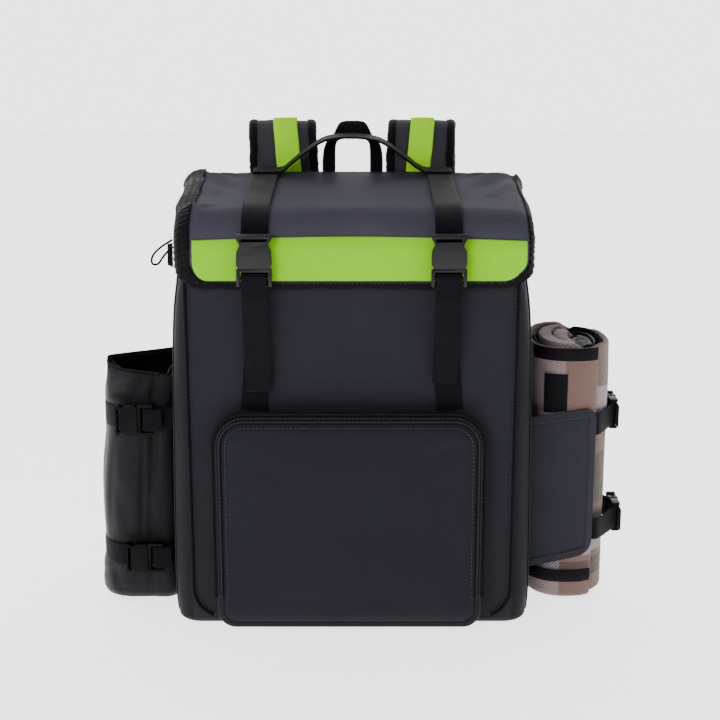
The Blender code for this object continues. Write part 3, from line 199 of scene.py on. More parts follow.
# Moulded plastic: fine grain, faint flow marks and lighter scuffed patches
def plasticMaterial(name, look):
    bench = Bench(name, Roughness=look["rough"], Specular_IOR_Level=look["gloss"])
    place = bench.place()
    grain = bench.noise(place, 2600.0, 2.0)
    flow = bench.noise(bench.stretched(place, 60, 60, 240), 1.0, 3.0)
    bench.set("Base Color", bench.mix(flow, look["dark"], look["light"]))
    bench.set("Roughness", (flow - 0.5) * 0.25 + look["rough"])
    bench.set("Normal", bench.bump(grain, 0.00006, 0.6))
    return bench.material


charcoal = {
    "rough": 0.60, "sheen": 0.02, "gloss": 0.10, "thread": 0.00095, "rib": 0.55, "mottle": 0.5, "slub": 0.45,
    "dark": (0.0066, 0.0062, 0.0098), "light": (0.0168, 0.0160, 0.0235), "foldStretch": (16, 16, 22),
    "weaveDepth": 0.00012, "foldDepth": 0.0014,
}
smoothLime = {**charcoal, "gloss": 0.0, "sheen": 0.0, "thread": 0.0006, "rib": 0.2, "slub": 0.5,
              "foldDepth": 0.0008}
clothLooks = {
    # the body's cloth is painted darker past the front panel's edge, painted shade on its sides
    "bodyCloth": {**charcoal, "sideFrom": 0.1475},
    "lidCloth": {**charcoal, "dark": (0.032, 0.030, 0.043), "light": (0.063, 0.060, 0.081), "gloss": 0.02,
                 "sheen": 0.0},
    "pocketCloth": {**charcoal, "dark": (0.0038, 0.0036, 0.0066), "light": (0.0092, 0.0088, 0.0140),
                    "rib": 0.6, "thread": 0.0011, "foldDepth": 0.0009},
    "holderCloth": {**charcoal, "dark": (0.0085, 0.0085, 0.0135), "light": (0.0190, 0.0185, 0.0270),
                    "rough": 0.5, "foldDepth": 0.0011},
    "pouchSatin": {**charcoal, "dark": (0.0022, 0.0021, 0.0029), "light": (0.0068, 0.0066, 0.0086),
                   "rough": 0.38, "thread": 0.0006, "rib": 0.2, "foldStretch": (30, 30, 11),
                   "foldDepth": 0.0035},
    "bindingTape": {**charcoal, "dark": (0.0020, 0.0020, 0.0028), "light": (0.0062, 0.0060, 0.0080),
                    "gloss": 0.05, "thread": 0.0007, "rough": 0.55, "foldStretch": (50, 50, 50),
                    "foldDepth": 0.0010},
    "limeCloth": {**smoothLime, "dark": (0.155, 0.46, 0.0), "light": (0.205, 0.54, 0.0)},
    # a brighter copy of the lime for the shoulder straps: painted light, making up for the less light that falls on
    # them
    "limeStrap": {**smoothLime, "dark": (0.31, 0.78, 0.0), "light": (0.38, 0.88, 0.0)},
    "padMesh": {**charcoal, "dark": (0.008, 0.008, 0.010), "light": (0.020, 0.020, 0.025), "thread": 0.0016,
                "rib": 0.0, "weaveDepth": 0.00030, "rough": 0.75},
    "strapPad": {**charcoal, "dark": (0.014, 0.0135, 0.018), "light": (0.052, 0.050, 0.062), "thread": 0.0008,
                 "foldStretch": (40, 18, 9), "foldDepth": 0.0022},
    # near black: painted shade for the inside of the pouch and the middle of the roll
    "liningCloth": {**charcoal, "dark": (0.0030, 0.0030, 0.0040), "light": (0.0065, 0.0063, 0.0085),
                    "rough": 0.45, "thread": 0.0006, "foldStretch": (60, 60, 60), "foldDepth": 0.002},
}
webbingLooks = {
    "strapWebbing": {"rough": 0.62, "sheen": 0.04, "pitch": 0.0013, "depth": 0.00022,
                     "dark": (0.0022, 0.0021, 0.0033), "light": (0.0070, 0.0066, 0.0095)},
    "zipTape": {"rough": 0.7, "sheen": 0.03, "pitch": 0.0010, "depth": 0.00015,
                "dark": (0.003, 0.003, 0.004), "light": (0.009, 0.009, 0.011)},
}
plasticLooks = {
    # a darker copy of the buckle plastic for the buckles off the front: painted shade, as they face away from the
    # light
    "sidePlastic": {"rough": 0.42, "gloss": 0.06,
                    "dark": (0.001, 0.001, 0.0014), "light": (0.003, 0.003, 0.0038)},
    "bucklePlastic": {"rough": 0.33, "gloss": 0.2,
                      "dark": (0.0035, 0.0035, 0.0045), "light": (0.0075, 0.0075, 0.0090)},
    "zipCoil": {"rough": 0.42, "gloss": 0.2, "dark": (0.004, 0.004, 0.005), "light": (0.010, 0.010, 0.012)},
}
materials = {name: clothMaterial(name, look) for name, look in clothLooks.items()}
materials |= {name: webbingMaterial(name, look) for name, look in webbingLooks.items()}
materials |= {name: plasticMaterial(name, look) for name, look in plasticLooks.items()}


fleeceSeed, seedStep = 90, 0.013  # where the fleece lies on its UV map


# Fleece in a woven check, on the UV map in metres: wide and narrow bars cross, and each crossing is a mix
def fleeceMaterial():
    bench = Bench("fleece", Roughness=0.95, Sheen_Weight=0.25, Sheen_Roughness=0.6, Specular_IOR_Level=0.1)
    uv = bench.uv()
    across, up = uv.part("X"), uv.part("Y")
    tan, lilac, brown = (0.122, 0.072, 0.056), (0.300, 0.255, 0.290), (0.016, 0.009, 0.007)
    # the bars' edges drift a little along the cloth from its outer end
    across = across - fleeceSeed * seedStep
    askew = up - across * 0.1

    def bar(value, low, high, soft=0.0008):
        return value.between(low - soft, low + soft) - value.between(high - soft, high + soft)

    topRow = (up + across * 0.045).between(0.1802, 0.1818) - askew.between(0.1872, 0.1888)
    lilacRows = topRow.most(bar(up, 0.052, 0.080))
    brownRows = bar(up, 0.100, 0.150).most(bar(up, 0.028, 0.046))
    columnShare = (across - 0.030) / 0.130
    lilacColumns = bar(columnShare.math("FRACT", columnShare), 0.0, 0.385, 0.008)
    rows = bench.mix(brownRows, bench.mix(lilacRows, tan, lilac), brown)
    columns = bench.mix(lilacColumns, tan, lilac)
    hatch = ((across + up) * (2 * math.pi / 0.0031)).sine().between(-0.5, 0.5)
    colour = bench.mix(hatch * 0.46 + 0.10, rows, columns)
    nap = bench.noise(bench.stretched(uv, 420, 420, 1), 1.0, 4.0, 0.65)
    clumps = bench.noise(bench.place(), 120.0, 4.0, 0.6)
    shade = bench.mix((nap - 0.5) * 0.9 + (clumps - 0.5) * 0.6 + 0.35, colour, (0.05, 0.035, 0.03))
    bench.set("Base Color", bench.mix(0.72, shade, colour))
    bench.set("Normal", bench.bump(nap + clumps, 0.0011))
    return bench.material


def threadMaterial():
    bench = Bench("thread", Roughness=0.6)
    twist = (bench.place().part("Z") * 9000.0 + bench.place().part("X") * 9000.0).sine()
    bench.set("Base Color", bench.mix(twist * 0.5 + 0.5, (0.010, 0.010, 0.013), (0.030, 0.030, 0.036)))
    return bench.material


materials["fleece"] = fleeceMaterial()
materials["thread"] = threadMaterial()
print("materials made:", len(materials))


# Puts a finished object on the body with its material, slot and the nodes that it stands for
def keep(piece, look, stands=()):
    piece.data.materials.clear()
    piece.data.materials.append(materials[look])
    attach(piece, "root")
    if stands:
        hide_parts(*([stands] if isinstance(stands, str) else stands))
    return piece


def linked(name, mesh):
    piece = bpy.data.objects.new(name, mesh)
    bpy.context.scene.collection.objects.link(piece)
    mesh.shade_smooth()
    return piece


# A mesh from vertex, face and UV arrays; the UVs are one for each corner
def meshFrom(name, points, faces, cornerUv):
    mesh = bpy.data.meshes.new(name)
    sizes = np.array([len(face) for face in faces], np.int32) if isinstance(faces, list) else None
    if sizes is None:
        sizes = np.full(len(faces), faces.shape[1], np.int32)
        corners = faces.ravel().astype(np.int32)
    else:
        corners = np.concatenate([np.asarray(face, np.int32) for face in faces])
    mesh.vertices.add(len(points))
    mesh.vertices.foreach_set("co", np.asarray(points, np.float32).ravel())
    mesh.loops.add(len(corners))
    mesh.loops.foreach_set("vertex_index", corners)
    mesh.polygons.add(len(sizes))
    mesh.polygons.foreach_set("loop_start", np.concatenate([[0], np.cumsum(sizes)[:-1]]).astype(np.int32))
    mesh.update(calc_edges=True)
    layer = mesh.uv_layers.new(name="UVMap")
    layer.data.foreach_set("uv", np.asarray(cornerUv, np.float32).ravel())
    mesh.validate()
    return mesh


def outwards(mesh, merge=0.0):
    shape = bmesh.new()
    shape.from_mesh(mesh)
    if merge:
        bmesh.ops.remove_doubles(shape, verts=shape.verts, dist=merge)
    bmesh.ops.recalc_face_normals(shape, faces=shape.faces)
    shape.to_mesh(mesh)
    shape.free()


# A surface over a grid of points (rows, columns, 3), joined round in either direction, with its ends capped
def surface(name, points, uv, roundRows=False, roundCols=False, caps=False, merge=0.0, facing=None):
    rows, cols = points.shape[:2]
    if facing is not None:
        # an open sheet's columns run so that its middle faces the given way
        i, j = rows // 2, cols // 2
        ahead, beside = points[i + 1, j] - points[i - 1, j], points[i, j + 1] - points[i, j - 1]
        if np.dot(np.cross(beside, ahead), facing) < 0:
            points, uv = points[:, ::-1], np.broadcast_to(uv, (rows, cols, 2))[:, ::-1]
    i, j = np.meshgrid(np.arange(rows if roundRows else rows - 1),
                       np.arange(cols if roundCols else cols - 1), indexing="ij")
    i, j = i.ravel(), j.ravel()
    ahead, beside = (i + 1), (j + 1)
    corners = np.stack([i * cols + j, i * cols + beside % cols, (ahead % rows) * cols + beside % cols,
                        (ahead % rows) * cols + j], 1)
    uvRows, uvCols = uv.shape[:2]
    a, b = np.minimum(ahead, uvRows - 1), np.minimum(beside, uvCols - 1)
    cornerUv = np.stack([uv[i, j], uv[i, b], uv[a, b], uv[a, j]], 1).reshape(-1, 2)
    faces = corners
    if caps:
        first, last = np.arange(cols)[::-1], (rows - 1) * cols + np.arange(cols)
        faces = list(corners) + [first, last]
        cornerUv = np.concatenate([cornerUv, uv[0, :cols][::-1], uv[-1, :cols]])
    mesh = meshFrom(name, points.reshape(-1, 3), faces, cornerUv)
    if caps or merge or roundRows or roundCols:
        outwards(mesh, merge)
    return linked(name, mesh)


def solidify(piece, thickness):
    wall = piece.modifiers.new("wall", "SOLIDIFY")
    wall.thickness, wall.offset, wall.use_even_offset = thickness, -1.0, True
    return piece


# A smooth line through points, read at even steps of its length (Catmull-Rom)
def smoothLine(points, count):
    p = np.asarray(points, float)
    p = np.concatenate([[2 * p[0] - p[1]], p, [2 * p[-1] - p[-2]]])
    a, b, c, d = p[:-3, None], p[1:-2, None], p[2:-1, None], p[3:, None]
    t = np.linspace(0, 1, 24, endpoint=False)[None, :, None]
    curve = 0.5 * (2 * b + (c - a) * t + (2 * a - 5 * b + 4 * c - d) * t ** 2
                   + (3 * b - a - 3 * c + d) * t ** 3)
    return evenly(np.concatenate([curve.reshape(-1, p.shape[1]), p[-2:-1]]), count)


def lengths(line):
    return np.concatenate([[0], np.cumsum(np.linalg.norm(np.diff(line, axis=0), axis=1))])


def evenly(line, count):
    run = lengths(line)
    at = np.linspace(0, run[-1], count)
    return np.stack([np.interp(at, run, line[:, k]) for k in range(line.shape[1])], 1)


def unit(v):
    return v / np.maximum(np.linalg.norm(v, axis=-1, keepdims=True), 1e-12)


# A rounded rectangle (across, out) as a closed profile
def bandProfile(width, thickness, steps=3, crown=0.0):
    r = thickness * 0.45
    turn = np.linspace(0, math.pi / 2, steps + 1)
    corners = []
    for k, (sx, sy) in enumerate(((1, 1), (-1, 1), (-1, -1), (1, -1))):
        angle = turn + k * math.pi / 2
        corners.append(np.stack([sx * (width / 2 - r) + r * np.cos(angle),
                                 sy * (thickness / 2 - r) + r * np.sin(angle)], 1))
    flat = np.linspace(-1, 1, 7)[1:-1]
    top = np.stack([-flat * (width / 2 - r), np.full(5, thickness / 2) + crown * (1 - flat ** 2)], 1)
    low = np.stack([flat * (width / 2 - r), np.full(5, -thickness / 2)], 1)
    return np.concatenate([corners[0], top, corners[1], corners[2], low, corners[3]])


# A profile (across, out) carried along a line; out is square to the line and to the across direction
def carried(name, line, across, profile, widths=None):
    ahead = unit(np.gradient(line, axis=0))
    across = np.broadcast_to(np.asarray(across, float), line.shape)
    across = unit(across - ahead * np.sum(across * ahead, axis=1, keepdims=True))
    out = np.cross(across, ahead)
    widths = np.ones(len(line)) if widths is None else widths
    points = (line[:, None] + across[:, None] * (profile[None, :, :1] * widths[:, None, None])
              + out[:, None] * profile[None, :, 1:])
    girth = lengths(np.concatenate([profile, profile[:1]]))
    uv = np.stack(np.broadcast_arrays(girth[None, :], lengths(line)[:, None]), 2)
    return surface(name, points, uv, roundCols=True, caps=True)


def webbing(name, line, across, width, thickness, look="strapWebbing", stands=(), crown=0.0, rough=0.0003):
    # the edges of real webbing waver a little along its length
    run = lengths(line)
    widths = 1 + rough / width * (np.sin(run * 410) + 0.6 * np.sin(run * 953 + 1.3))
    piece = carried(name, line, across, bandProfile(width, thickness, crown=crown), widths)
    return keep(piece, look, stands)


def roundProfile(radius, sides=10):
    angle = np.linspace(0, 2 * math.pi, sides, endpoint=False)
    return np.stack([radius * np.cos(angle), radius * np.sin(angle)], 1)


def pipe(name, line, radius, look, stands=(), across=(0, 1, 0), sides=10):
    return keep(carried(name, line, across, roundProfile(radius, sides)), look, stands)


# A row of stitches along a line on a surface: each is a small rounded lozenge that dips at both ends
def stitches(name, line, out, look={"length": 0.0026, "space": 0.0012, "radius": 0.00032}):
    total = lengths(line)[-1]
    count = max(int(total / (look["length"] + look["space"])), 2)
    middle = evenly(line, count + 1)
    ahead = unit(np.diff(middle, axis=0))
    spot = (middle[1:] + middle[:-1]) / 2
    out = unit(np.broadcast_to(np.asarray(out, float), spot.shape)
               if np.ndim(out) == 1 else evenly(np.asarray(out), count))
    out = unit(out - ahead * np.sum(out * ahead, axis=1, keepdims=True))
    side = np.cross(ahead, out)
    ring = np.array([[-0.5, 0, -0.2], [-0.32, 1, 0.3], [-0.32, 0, 1.0], [-0.32, -1, 0.3], [0.32, 1, 0.3],
                     [0.32, 0, 1.0], [0.32, -1, 0.3], [0.5, 0, -0.2], [-0.32, 0, -0.6], [0.32, 0, -0.6]])
    r = look["radius"]
    points = (spot[:, None] + ahead[:, None] * ring[None, :, :1] * look["length"]
              + side[:, None] * ring[None, :, 1:2] * r + out[:, None] * ring[None, :, 2:] * r)
    quads = [(1, 2, 5, 4), (2, 3, 6, 5), (3, 8, 9, 6), (8, 1, 4, 9)]
    tris = [(0, 2, 1), (0, 3, 2), (0, 8, 3), (0, 1, 8), (7, 4, 5), (7, 5, 6), (7, 6, 9), (7, 9, 4)]
    base = np.arange(count)[:, None, None] * 10
    faces = list((base + np.array(quads)[None]).reshape(-1, 4))
    faces += list((base + np.array(tris)[None]).reshape(-1, 3))
    corners = sum(len(face) for face in faces)
    mesh = meshFrom(name, points.reshape(-1, 3), faces, np.zeros((corners, 2)))
    outwards(mesh)
    return keep(linked(name, mesh), "thread")


# Height of a soft ridge along each crease of a table: x, z, x, z of its ends, its width and its depth
def creases(x, z, table):
    total = np.zeros(np.broadcast(x, z).shape)
    for x0, z0, x1, z1, width, depth in table:
        dx, dz = x1 - x0, z1 - z0
        t = np.clip(((x - x0) * dx + (z - z0) * dz) / (dx * dx + dz * dz), 0, 1)
        away = np.hypot(x - x0 - t * dx, z - z0 - t * dz)
        total = total + depth * np.exp(-(away / width) ** 2) * np.sin(math.pi * (0.15 + 0.7 * t))
    return total


# Smooth made-up unevenness between -1 and 1: a few crossed waves
def uneven(a, b, seed, scale):
    rng = np.random.default_rng(seed)
    total = 0.0
    for k in range(6):
        angle, phase = rng.uniform(0, math.pi), rng.uniform(0, 2 * math.pi)
        wave = scale * (0.6 + 0.35 * k)
        total = total + np.sin((a * math.cos(angle) + b * math.sin(angle)) * wave + phase) / (1 + 0.5 * k)
    return total / 3.2


# Floor, lights and camera
cameraLook = {
    "aim": (0.0073, 0.0, 0.232), "elevation": 13.5, "azimuth": 0.0, "distance": 1.351, "lens": 70.0,
    "floorSize": 12.0, "floorColour": (0.80, 0.80, 0.80), "floorGlow": 2.15,
    "backdrop": (0.1, 0.75, 0.20, 3.2),
}
# each light: place, size, power and warmth
lights = {
    "keyLight": ((-0.8, -1.9, 1.1), (0.9, 0.7), 30.0, (1.0, 0.985, 1.0)),
    "topLight": ((-1.3, -0.1, 1.25), (0.7, 0.5), 5.5, (0.97, 0.98, 1.0)),
    "sideLight": ((1.7, -0.9, 0.9), (0.6, 1.0), 5.0, (1.0, 1.0, 1.0)),
}


def stageAndCamera():
    aim = Vector(cameraLook["aim"])
    up, side = math.radians(cameraLook["elevation"]), math.radians(cameraLook["azimuth"])
    away = Vector((math.sin(side) * math.cos(up), -math.cos(side) * math.cos(up), math.sin(up)))
    camera = bpy.data.objects.new("camera", bpy.data.cameras.new("camera"))
    camera.location = aim + away * cameraLook["distance"]
    camera.rotation_euler = (-away).to_track_quat("-Z", "Y").to_euler()
    camera.data.lens, camera.data.sensor_width = cameraLook["lens"], 36.0
    bpy.context.scene.collection.objects.link(camera)
    bpy.context.scene.camera = camera
    for name, (place, size, power, colour) in lights.items():
        data = bpy.data.lights.new(name, "AREA")
        data.shape, data.size, data.size_y = "RECTANGLE", *size
        data.energy, data.color = power, colour
        light = bpy.data.objects.new(name, data)
        light.location = place
        light.rotation_euler = (aim - Vector(place)).to_track_quat("-Z", "Y").to_euler()
        bpy.context.scene.collection.objects.link(light)
    half = cameraLook["floorSize"] / 2
    corners = np.array([(-half, -half, 0), (half, -half, 0), (half, half, 0), (-half, half, 0)])
    floor = linked("floor", meshFrom("floor", corners, np.array([[0, 1, 2, 3]]), corners[:, :2]))
    bench = Bench("floor", Roughness=0.9, Base_Color=cameraLook["floorColour"],
                  Emission_Color=(1.0, 1.0, 1.0), Emission_Strength=cameraLook["floorGlow"])
    floor.data.materials.append(bench.material)
    # a bright backdrop behind the object, and a dim room in front of it
    world = bpy.data.worlds.new("studio")
    world.use_nodes = True
    tree = world.node_tree
    where = tree.nodes.new("ShaderNodeTexCoord")
    split = tree.nodes.new("ShaderNodeSeparateXYZ")
    level = tree.nodes.new("ShaderNodeMapRange")
    level.interpolation_type = "SMOOTHSTEP"
    tree.links.new(where.outputs["Generated"], split.inputs[0])
    tree.links.new(split.outputs["Y"], level.inputs["Value"])
    for key, value in zip(("From Min", "From Max", "To Min", "To Max"), cameraLook["backdrop"]):
        level.inputs[key].default_value = value
    tree.links.new(level.outputs[0], tree.nodes["Background"].inputs["Strength"])
    tree.nodes["Background"].inputs["Color"].default_value = (1, 1, 1, 1)
    bpy.context.scene.world = world


stageAndCamera()
print("stage, lights and camera ready")

# The insulated body: its outline at each height as shares of its half sizes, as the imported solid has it
body = {
    "heights": (0.00, 0.10, 0.40, 0.70, 0.84, 1.00),
    "widths": (1.020, 1.030, 1.020, 1.002, 0.966, 0.940),
    "depths": (0.985, 1.000, 1.012, 1.004, 0.990, 0.975),
    "frontCorner": 0.018, "rearCorner": 0.028, "baseEdge": 0.007, "wall": 0.0044,
    "columns": {"front": 64, "frontCorner": 9, "side": 30, "rearCorner": 8, "rear": 28}, "rows": 80,
    "dent": 0.0016,  # how deep the cloth sinks between what holds it out
    "calmFront": 0.018, "calmSide": 0.032,  # no dents so close to the upright front corners
}
bodyHigh = boxOf("body_shell")[1]
bodyHalfW = bodyHigh[0] / max(body["widths"])
bodyHalfD = bodyHigh[1] / max(body["depths"])
bodyTop = bodyHigh[2]


# A smooth curve through a short table, read at any share
def tableCurve(at, places, values):
    line = smoothLine(np.stack([places, values], 1), 400)
    return np.interp(at, line[:, 0], line[:, 1])


def halfWidthAt(z):
    return bodyHalfW * tableCurve(np.asarray(z, float) / bodyTop, body["heights"], body["widths"])


def halfDepthAt(z):
    return bodyHalfD * tableCurve(np.asarray(z, float) / bodyTop, body["heights"], body["depths"])


# Outline of a box with round upright corners, from the middle of its rear side, as (x, y) and outward (x, y)
def boxOutline(halfW, halfD, front, rear, columns):
    halfW, halfD = np.asarray(halfW, float)[..., None], np.asarray(halfD, float)[..., None]
    front, rear = np.asarray(front, float)[..., None], np.asarray(rear, float)[..., None]
    xs, ys, nx, ny = [], [], [], []

    def side(count, x0, y0, x1, y1, out):
        t = np.linspace(0, 1, count, endpoint=False)
        xs.append(x0 + (x1 - x0) * t)
        ys.append(y0 + (y1 - y0) * t)
        nx.append(np.full_like(xs[-1], out[0]))
        ny.append(np.full_like(xs[-1], out[1]))

    def corner(count, x, y, r, start):
        a = np.radians(start - 90 * np.linspace(0, 1, count, endpoint=False))
        xs.append(x + r * np.cos(a))
        ys.append(y + r * np.sin(a))
        nx.append(np.broadcast_to(np.cos(a), xs[-1].shape))
        ny.append(np.broadcast_to(np.sin(a), xs[-1].shape))

    c = columns
    zero = 0 * halfW
    side(c["rear"] // 2, zero, halfD, halfW - rear, halfD, (0, 1))
    corner(c["rearCorner"], halfW - rear, halfD - rear, rear, 90)
    side(c["side"], halfW, halfD - rear, halfW, -halfD + front, (1, 0))
    corner(c["frontCorner"], halfW - front, -halfD + front, front, 0)
    side(c["front"], halfW - front, -halfD, -halfW + front, -halfD, (0, -1))
    corner(c["frontCorner"], -halfW + front, -halfD + front, front, -90)
    side(c["side"], -halfW, -halfD + front, -halfW, halfD - rear, (-1, 0))
    corner(c["rearCorner"], -halfW + rear, halfD - rear, rear, -180)
    side(c["rear"] // 2, -halfW + rear, halfD, zero, halfD, (0, 1))
    join = lambda parts: np.concatenate(parts, -1)
    return np.stack([join(xs), join(ys)], -1), np.stack([join(nx), join(ny)], -1)


# The lid's bend over the front edge: its middle layer in the side view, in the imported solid's measures
lid = {
    "thickness": 0.003, "bend": 0.036, "sideTurn": 0.011, "corner": 0.026, "sag": 0.005, "fall": 0.017,
    "binding": 0.007, "bindingThick": 0.0042, "limeInset": 0.002, "limeThick": 0.0008, "limeHeight": 0.037,
    "strapLift": 0.0006, "webbingThick": 0.0014, "ear": 0.0036, "creaseDepth": 2.1,
    "sideTape": 1.3, "fray": 0.0005,  # the tape is thicker and more ragged down the sides
    "leftIn": 0.0045, "rearOut": 0.0035,
    "widerLeft": 0.0108,  # how much wider the tape is at the left
    "limeLeft": 0.0115,  # how far in the bright band starts there
}
flapLow, flapHigh = boxOf("lid_flap")
lidLowerZ = boxOf("lid_binding")[0][2]
lidFrontY = flapLow[1] + lid["thickness"] / 2
lidHalfW = boxOf("lid_binding")[1][0] - lid["bindingThick"] / 2
lidBendY = lidFrontY + lid["bend"]
lidSlope = math.atan2(lid["fall"], 2 * bodyHalfD)
lidRear = np.array([flapHigh[1], flapHigh[2] - lid["thickness"] / 2])
lidBendZ = (lidRear[1] - (lidRear[0] - lidBendY + lid["bend"] * math.sin(lidSlope)) * math.tan(lidSlope)
            - lid["bend"] * math.cos(lidSlope))
lidStart = np.array([lidBendY - lid["bend"] * math.sin(lidSlope),
                     lidBendZ + lid["bend"] * math.cos(lidSlope)])
lidFlatL = float(np.hypot(*(lidStart - lidRear)))
lidBendL = lid["bend"] * (math.pi / 2 - lidSlope)
lidL = lidFlatL + lidBendL + (lidBendZ - lidLowerZ)


# Side view of the lid at a length from its rear edge: straight, round the bend, straight down
def lidPlace(s):
    s = np.asarray(s, float)
    t = np.clip(s / lidFlatL, None, 1)
    flat = lidRear + (lidStart - lidRear) * t[..., None]
    angle = math.pi / 2 + lidSlope + np.clip((s - lidFlatL) / lid["bend"], 0, math.pi / 2 - lidSlope)
    spot = np.stack([lidBendY + lid["bend"] * np.cos(angle), lidBendZ + lid["bend"] * np.sin(angle)], -1)
    drop = np.clip(s - lidFlatL - lidBendL, 0, None)
    spot[..., 1] -= drop
    return np.where((s < lidFlatL)[..., None], flat, spot), np.stack([np.cos(angle), np.sin(angle)], -1)


# A point of the lid at x across and s along, standing off its middle layer; the sides turn down
def onLid(x, s, off=0.0):
    x, s, off = np.broadcast_arrays(np.asarray(x, float), np.asarray(s, float), np.asarray(off, float))
    spot, out = lidPlace(s)
    flat = lidHalfW - lid["sideTurn"]
    turn = lid["sideTurn"]
    past = np.clip((np.abs(x) - flat) / turn, 0, 1) * math.pi / 2
    reach = np.where(past > 0, (turn + off) * np.cos(past) - turn, off)
    across = np.where(past > 0, np.sign(x) * (flat + (turn + off) * np.sin(past)), x)
    sag = lid["sag"] * np.clip(np.abs(x) / lidHalfW, 0, 1) ** 4
    # its left side hangs a little inward in front, and both rear corners pull outward
    forward = np.clip((s / lidL - 0.42) / 0.25, 0, 1)
    across = across + lid["leftIn"] * forward * np.clip((-x / lidHalfW - 0.8) / 0.2, 0, 1) ** 2
    outward = np.sign(x) * np.clip((np.abs(x) / lidHalfW - 0.8) / 0.2, 0, 1) ** 2
    across = across + lid["rearOut"] * (1 - forward) * outward
    return np.stack([across, spot[..., 0] + out[..., 0] * reach,
                     spot[..., 1] + out[..., 1] * reach - sag * out[..., 1]], -1)


def rimHeight(x, y):
    level = bodyTop - lid["fall"] * (bodyHalfD - y) / (2 * bodyHalfD)
    inside = lid["bend"] - lid["thickness"] / 2 - 3 * gap
    bent = lidBendZ + np.sqrt(np.clip(inside ** 2 - (y - lidBendY) ** 2, 0, None))
    level = np.where(y < lidBendY, np.minimum(level, bent), level)
    return level - lid["sag"] * np.clip(np.abs(x) / lidHalfW, 0, 1) ** 4


# Soft vertical pulls and dents of the body's cloth: ends as shares of half width and height, width, depth
bodyCreases = (
    (-0.93, 0.10, -0.90, 0.55, 0.010, 0.0022),
    (-0.78, 0.05, -0.86, 0.30, 0.014, 0.0016),
    (0.90, 0.12, 0.93, 0.60, 0.010, 0.0022),
    (0.80, 0.04, 0.88, 0.22, 0.014, 0.0018),
    (-0.20, 0.56, 0.30, 0.60, 0.020, 0.0012),
    (-0.10, 0.72, 0.25, 0.66, 0.022, 0.0014),
    (-0.86, 0.62, -0.66, 0.72, 0.014, 0.0012),
    (0.86, 0.60, 0.64, 0.71, 0.014, 0.0012),
)


# The body's cloth from the rim down its walls, round the base edge and in to the middle of the base
def bodyCloth():
    rows = body["rows"]
    edge = body["baseEdge"]
    shareZ = np.linspace(1, edge / bodyTop, rows)[:, None]
    nominal = shareZ[:, 0] * bodyTop
    outline, out = boxOutline(halfWidthAt(nominal), halfDepthAt(nominal),
                              np.full(rows, body["frontCorner"]), np.full(rows, body["rearCorner"]), body["columns"])
    x, y = outline[..., 0], outline[..., 1]
    z = shareZ * rimHeight(x, y)
    outline = outline * np.stack([halfWidthAt(z) / halfWidthAt(nominal)[:, None],
                                  halfDepthAt(z) / halfDepthAt(nominal)[:, None]], -1)
    x, y = outline[..., 0], outline[..., 1]
    front = np.clip(-out[..., 1], 0, 1)
    side = np.abs(out[..., 0])
    table = [(a * bodyHalfW, b * bodyTop, c * bodyHalfW, d * bodyTop, w, h)
             for a, b, c, d, w, h in bodyCreases]
    low = (1 - shareZ) * shareZ * 4
    dent = front * creases(x, z, table) + body["dent"] * low * (0.5 + 0.5 * uneven(x, z, 3, 30)) * front
    dent = dent + side * (0.0012 * (0.5 + 0.5 * uneven(y, z, 5, 42)) + creases(y, z, (
        (-0.075, 0.05, -0.060, 0.22, 0.008, 0.0016), (0.060, 0.08, 0.070, 0.30, 0.010, 0.0016),
        (-0.050, 0.28, 0.020, 0.34, 0.014, 0.0014))))
    dent = dent + 0.0008 * (0.5 + 0.5 * uneven(x, z, 9, 24)) * np.clip(out[..., 1], 0, 1)
    halfW, halfD = halfWidthAt(z), halfDepthAt(z)
    calm = np.clip((halfW - body["calmFront"] - np.abs(x)) / 0.02, 0, 1) * front ** 2
    calm = calm + np.clip((y + halfD - body["calmSide"]) / 0.02, 0, 1) * side ** 2
    calm = calm + np.clip(out[..., 1], 0, 1) ** 2
    outline = outline - out * (dent * np.clip(calm, 0, 1))[..., None]
    walls = np.concatenate([outline, z[..., None]], -1)
    # round the base edge, then level to the middle
    turn = np.linspace(0, math.pi / 2, 9)[1:]
    inward, rise = edge * (1 - np.cos(turn)), edge * (1 - np.sin(turn))
    base, _ = boxOutline(halfWidthAt(rise) - inward, halfDepthAt(rise) - inward,
                         np.full(8, body["frontCorner"]), np.full(8, body["rearCorner"]), body["columns"])
    under = np.concatenate([base, np.broadcast_to(rise[:, None, None], base.shape[:2] + (1,))], -1)
    shrink = np.linspace(1, 0, 24)[1:, None, None] ** 0.8
    floorPart = under[-1:] * shrink
    floorPart[..., 2] = 0.0
    points = np.concatenate([walls, under, floorPart])
    around = lengths(np.concatenate([points[rows // 2], points[rows // 2][:1]]))
    upward = lengths(points[:, 140, 1:])
    uv = np.stack(np.broadcast_arrays(around[None, :], -upward[:, None]), 2)
    piece = surface("bodyCloth", points, uv, roundCols=True, merge=0.00005)
    return keep(solidify(piece, body["wall"]), "bodyCloth", "body_shell")


bodyCloth()
print("body made")

# Soft ridges of the lid: ends as shares of half width and of its length, width, height; the rear corners pull
lidCreases = (
    (-0.96, 0.03, -0.70, 0.20, 0.006, 0.0022),
    (-0.95, 0.06, -0.62, 0.33, 0.008, 0.0018),
    (-0.97, 0.10, -0.80, 0.40, 0.007, 0.0016),
    (-0.90, 0.02, -0.50, 0.09, 0.006, 0.0016),
    (0.96, 0.03, 0.70, 0.20, 0.006, 0.0022),
    (0.95, 0.06, 0.64, 0.32, 0.008, 0.0018),
    (0.97, 0.12, 0.82, 0.44, 0.007, 0.0016),
    (0.90, 0.02, 0.52, 0.08, 0.006, 0.0016),
    (-0.92, 0.62, -0.84, 0.72, 0.005, 0.0014),
    (-0.95, 0.66, -0.80, 0.60, 0.005, 0.0012),
)


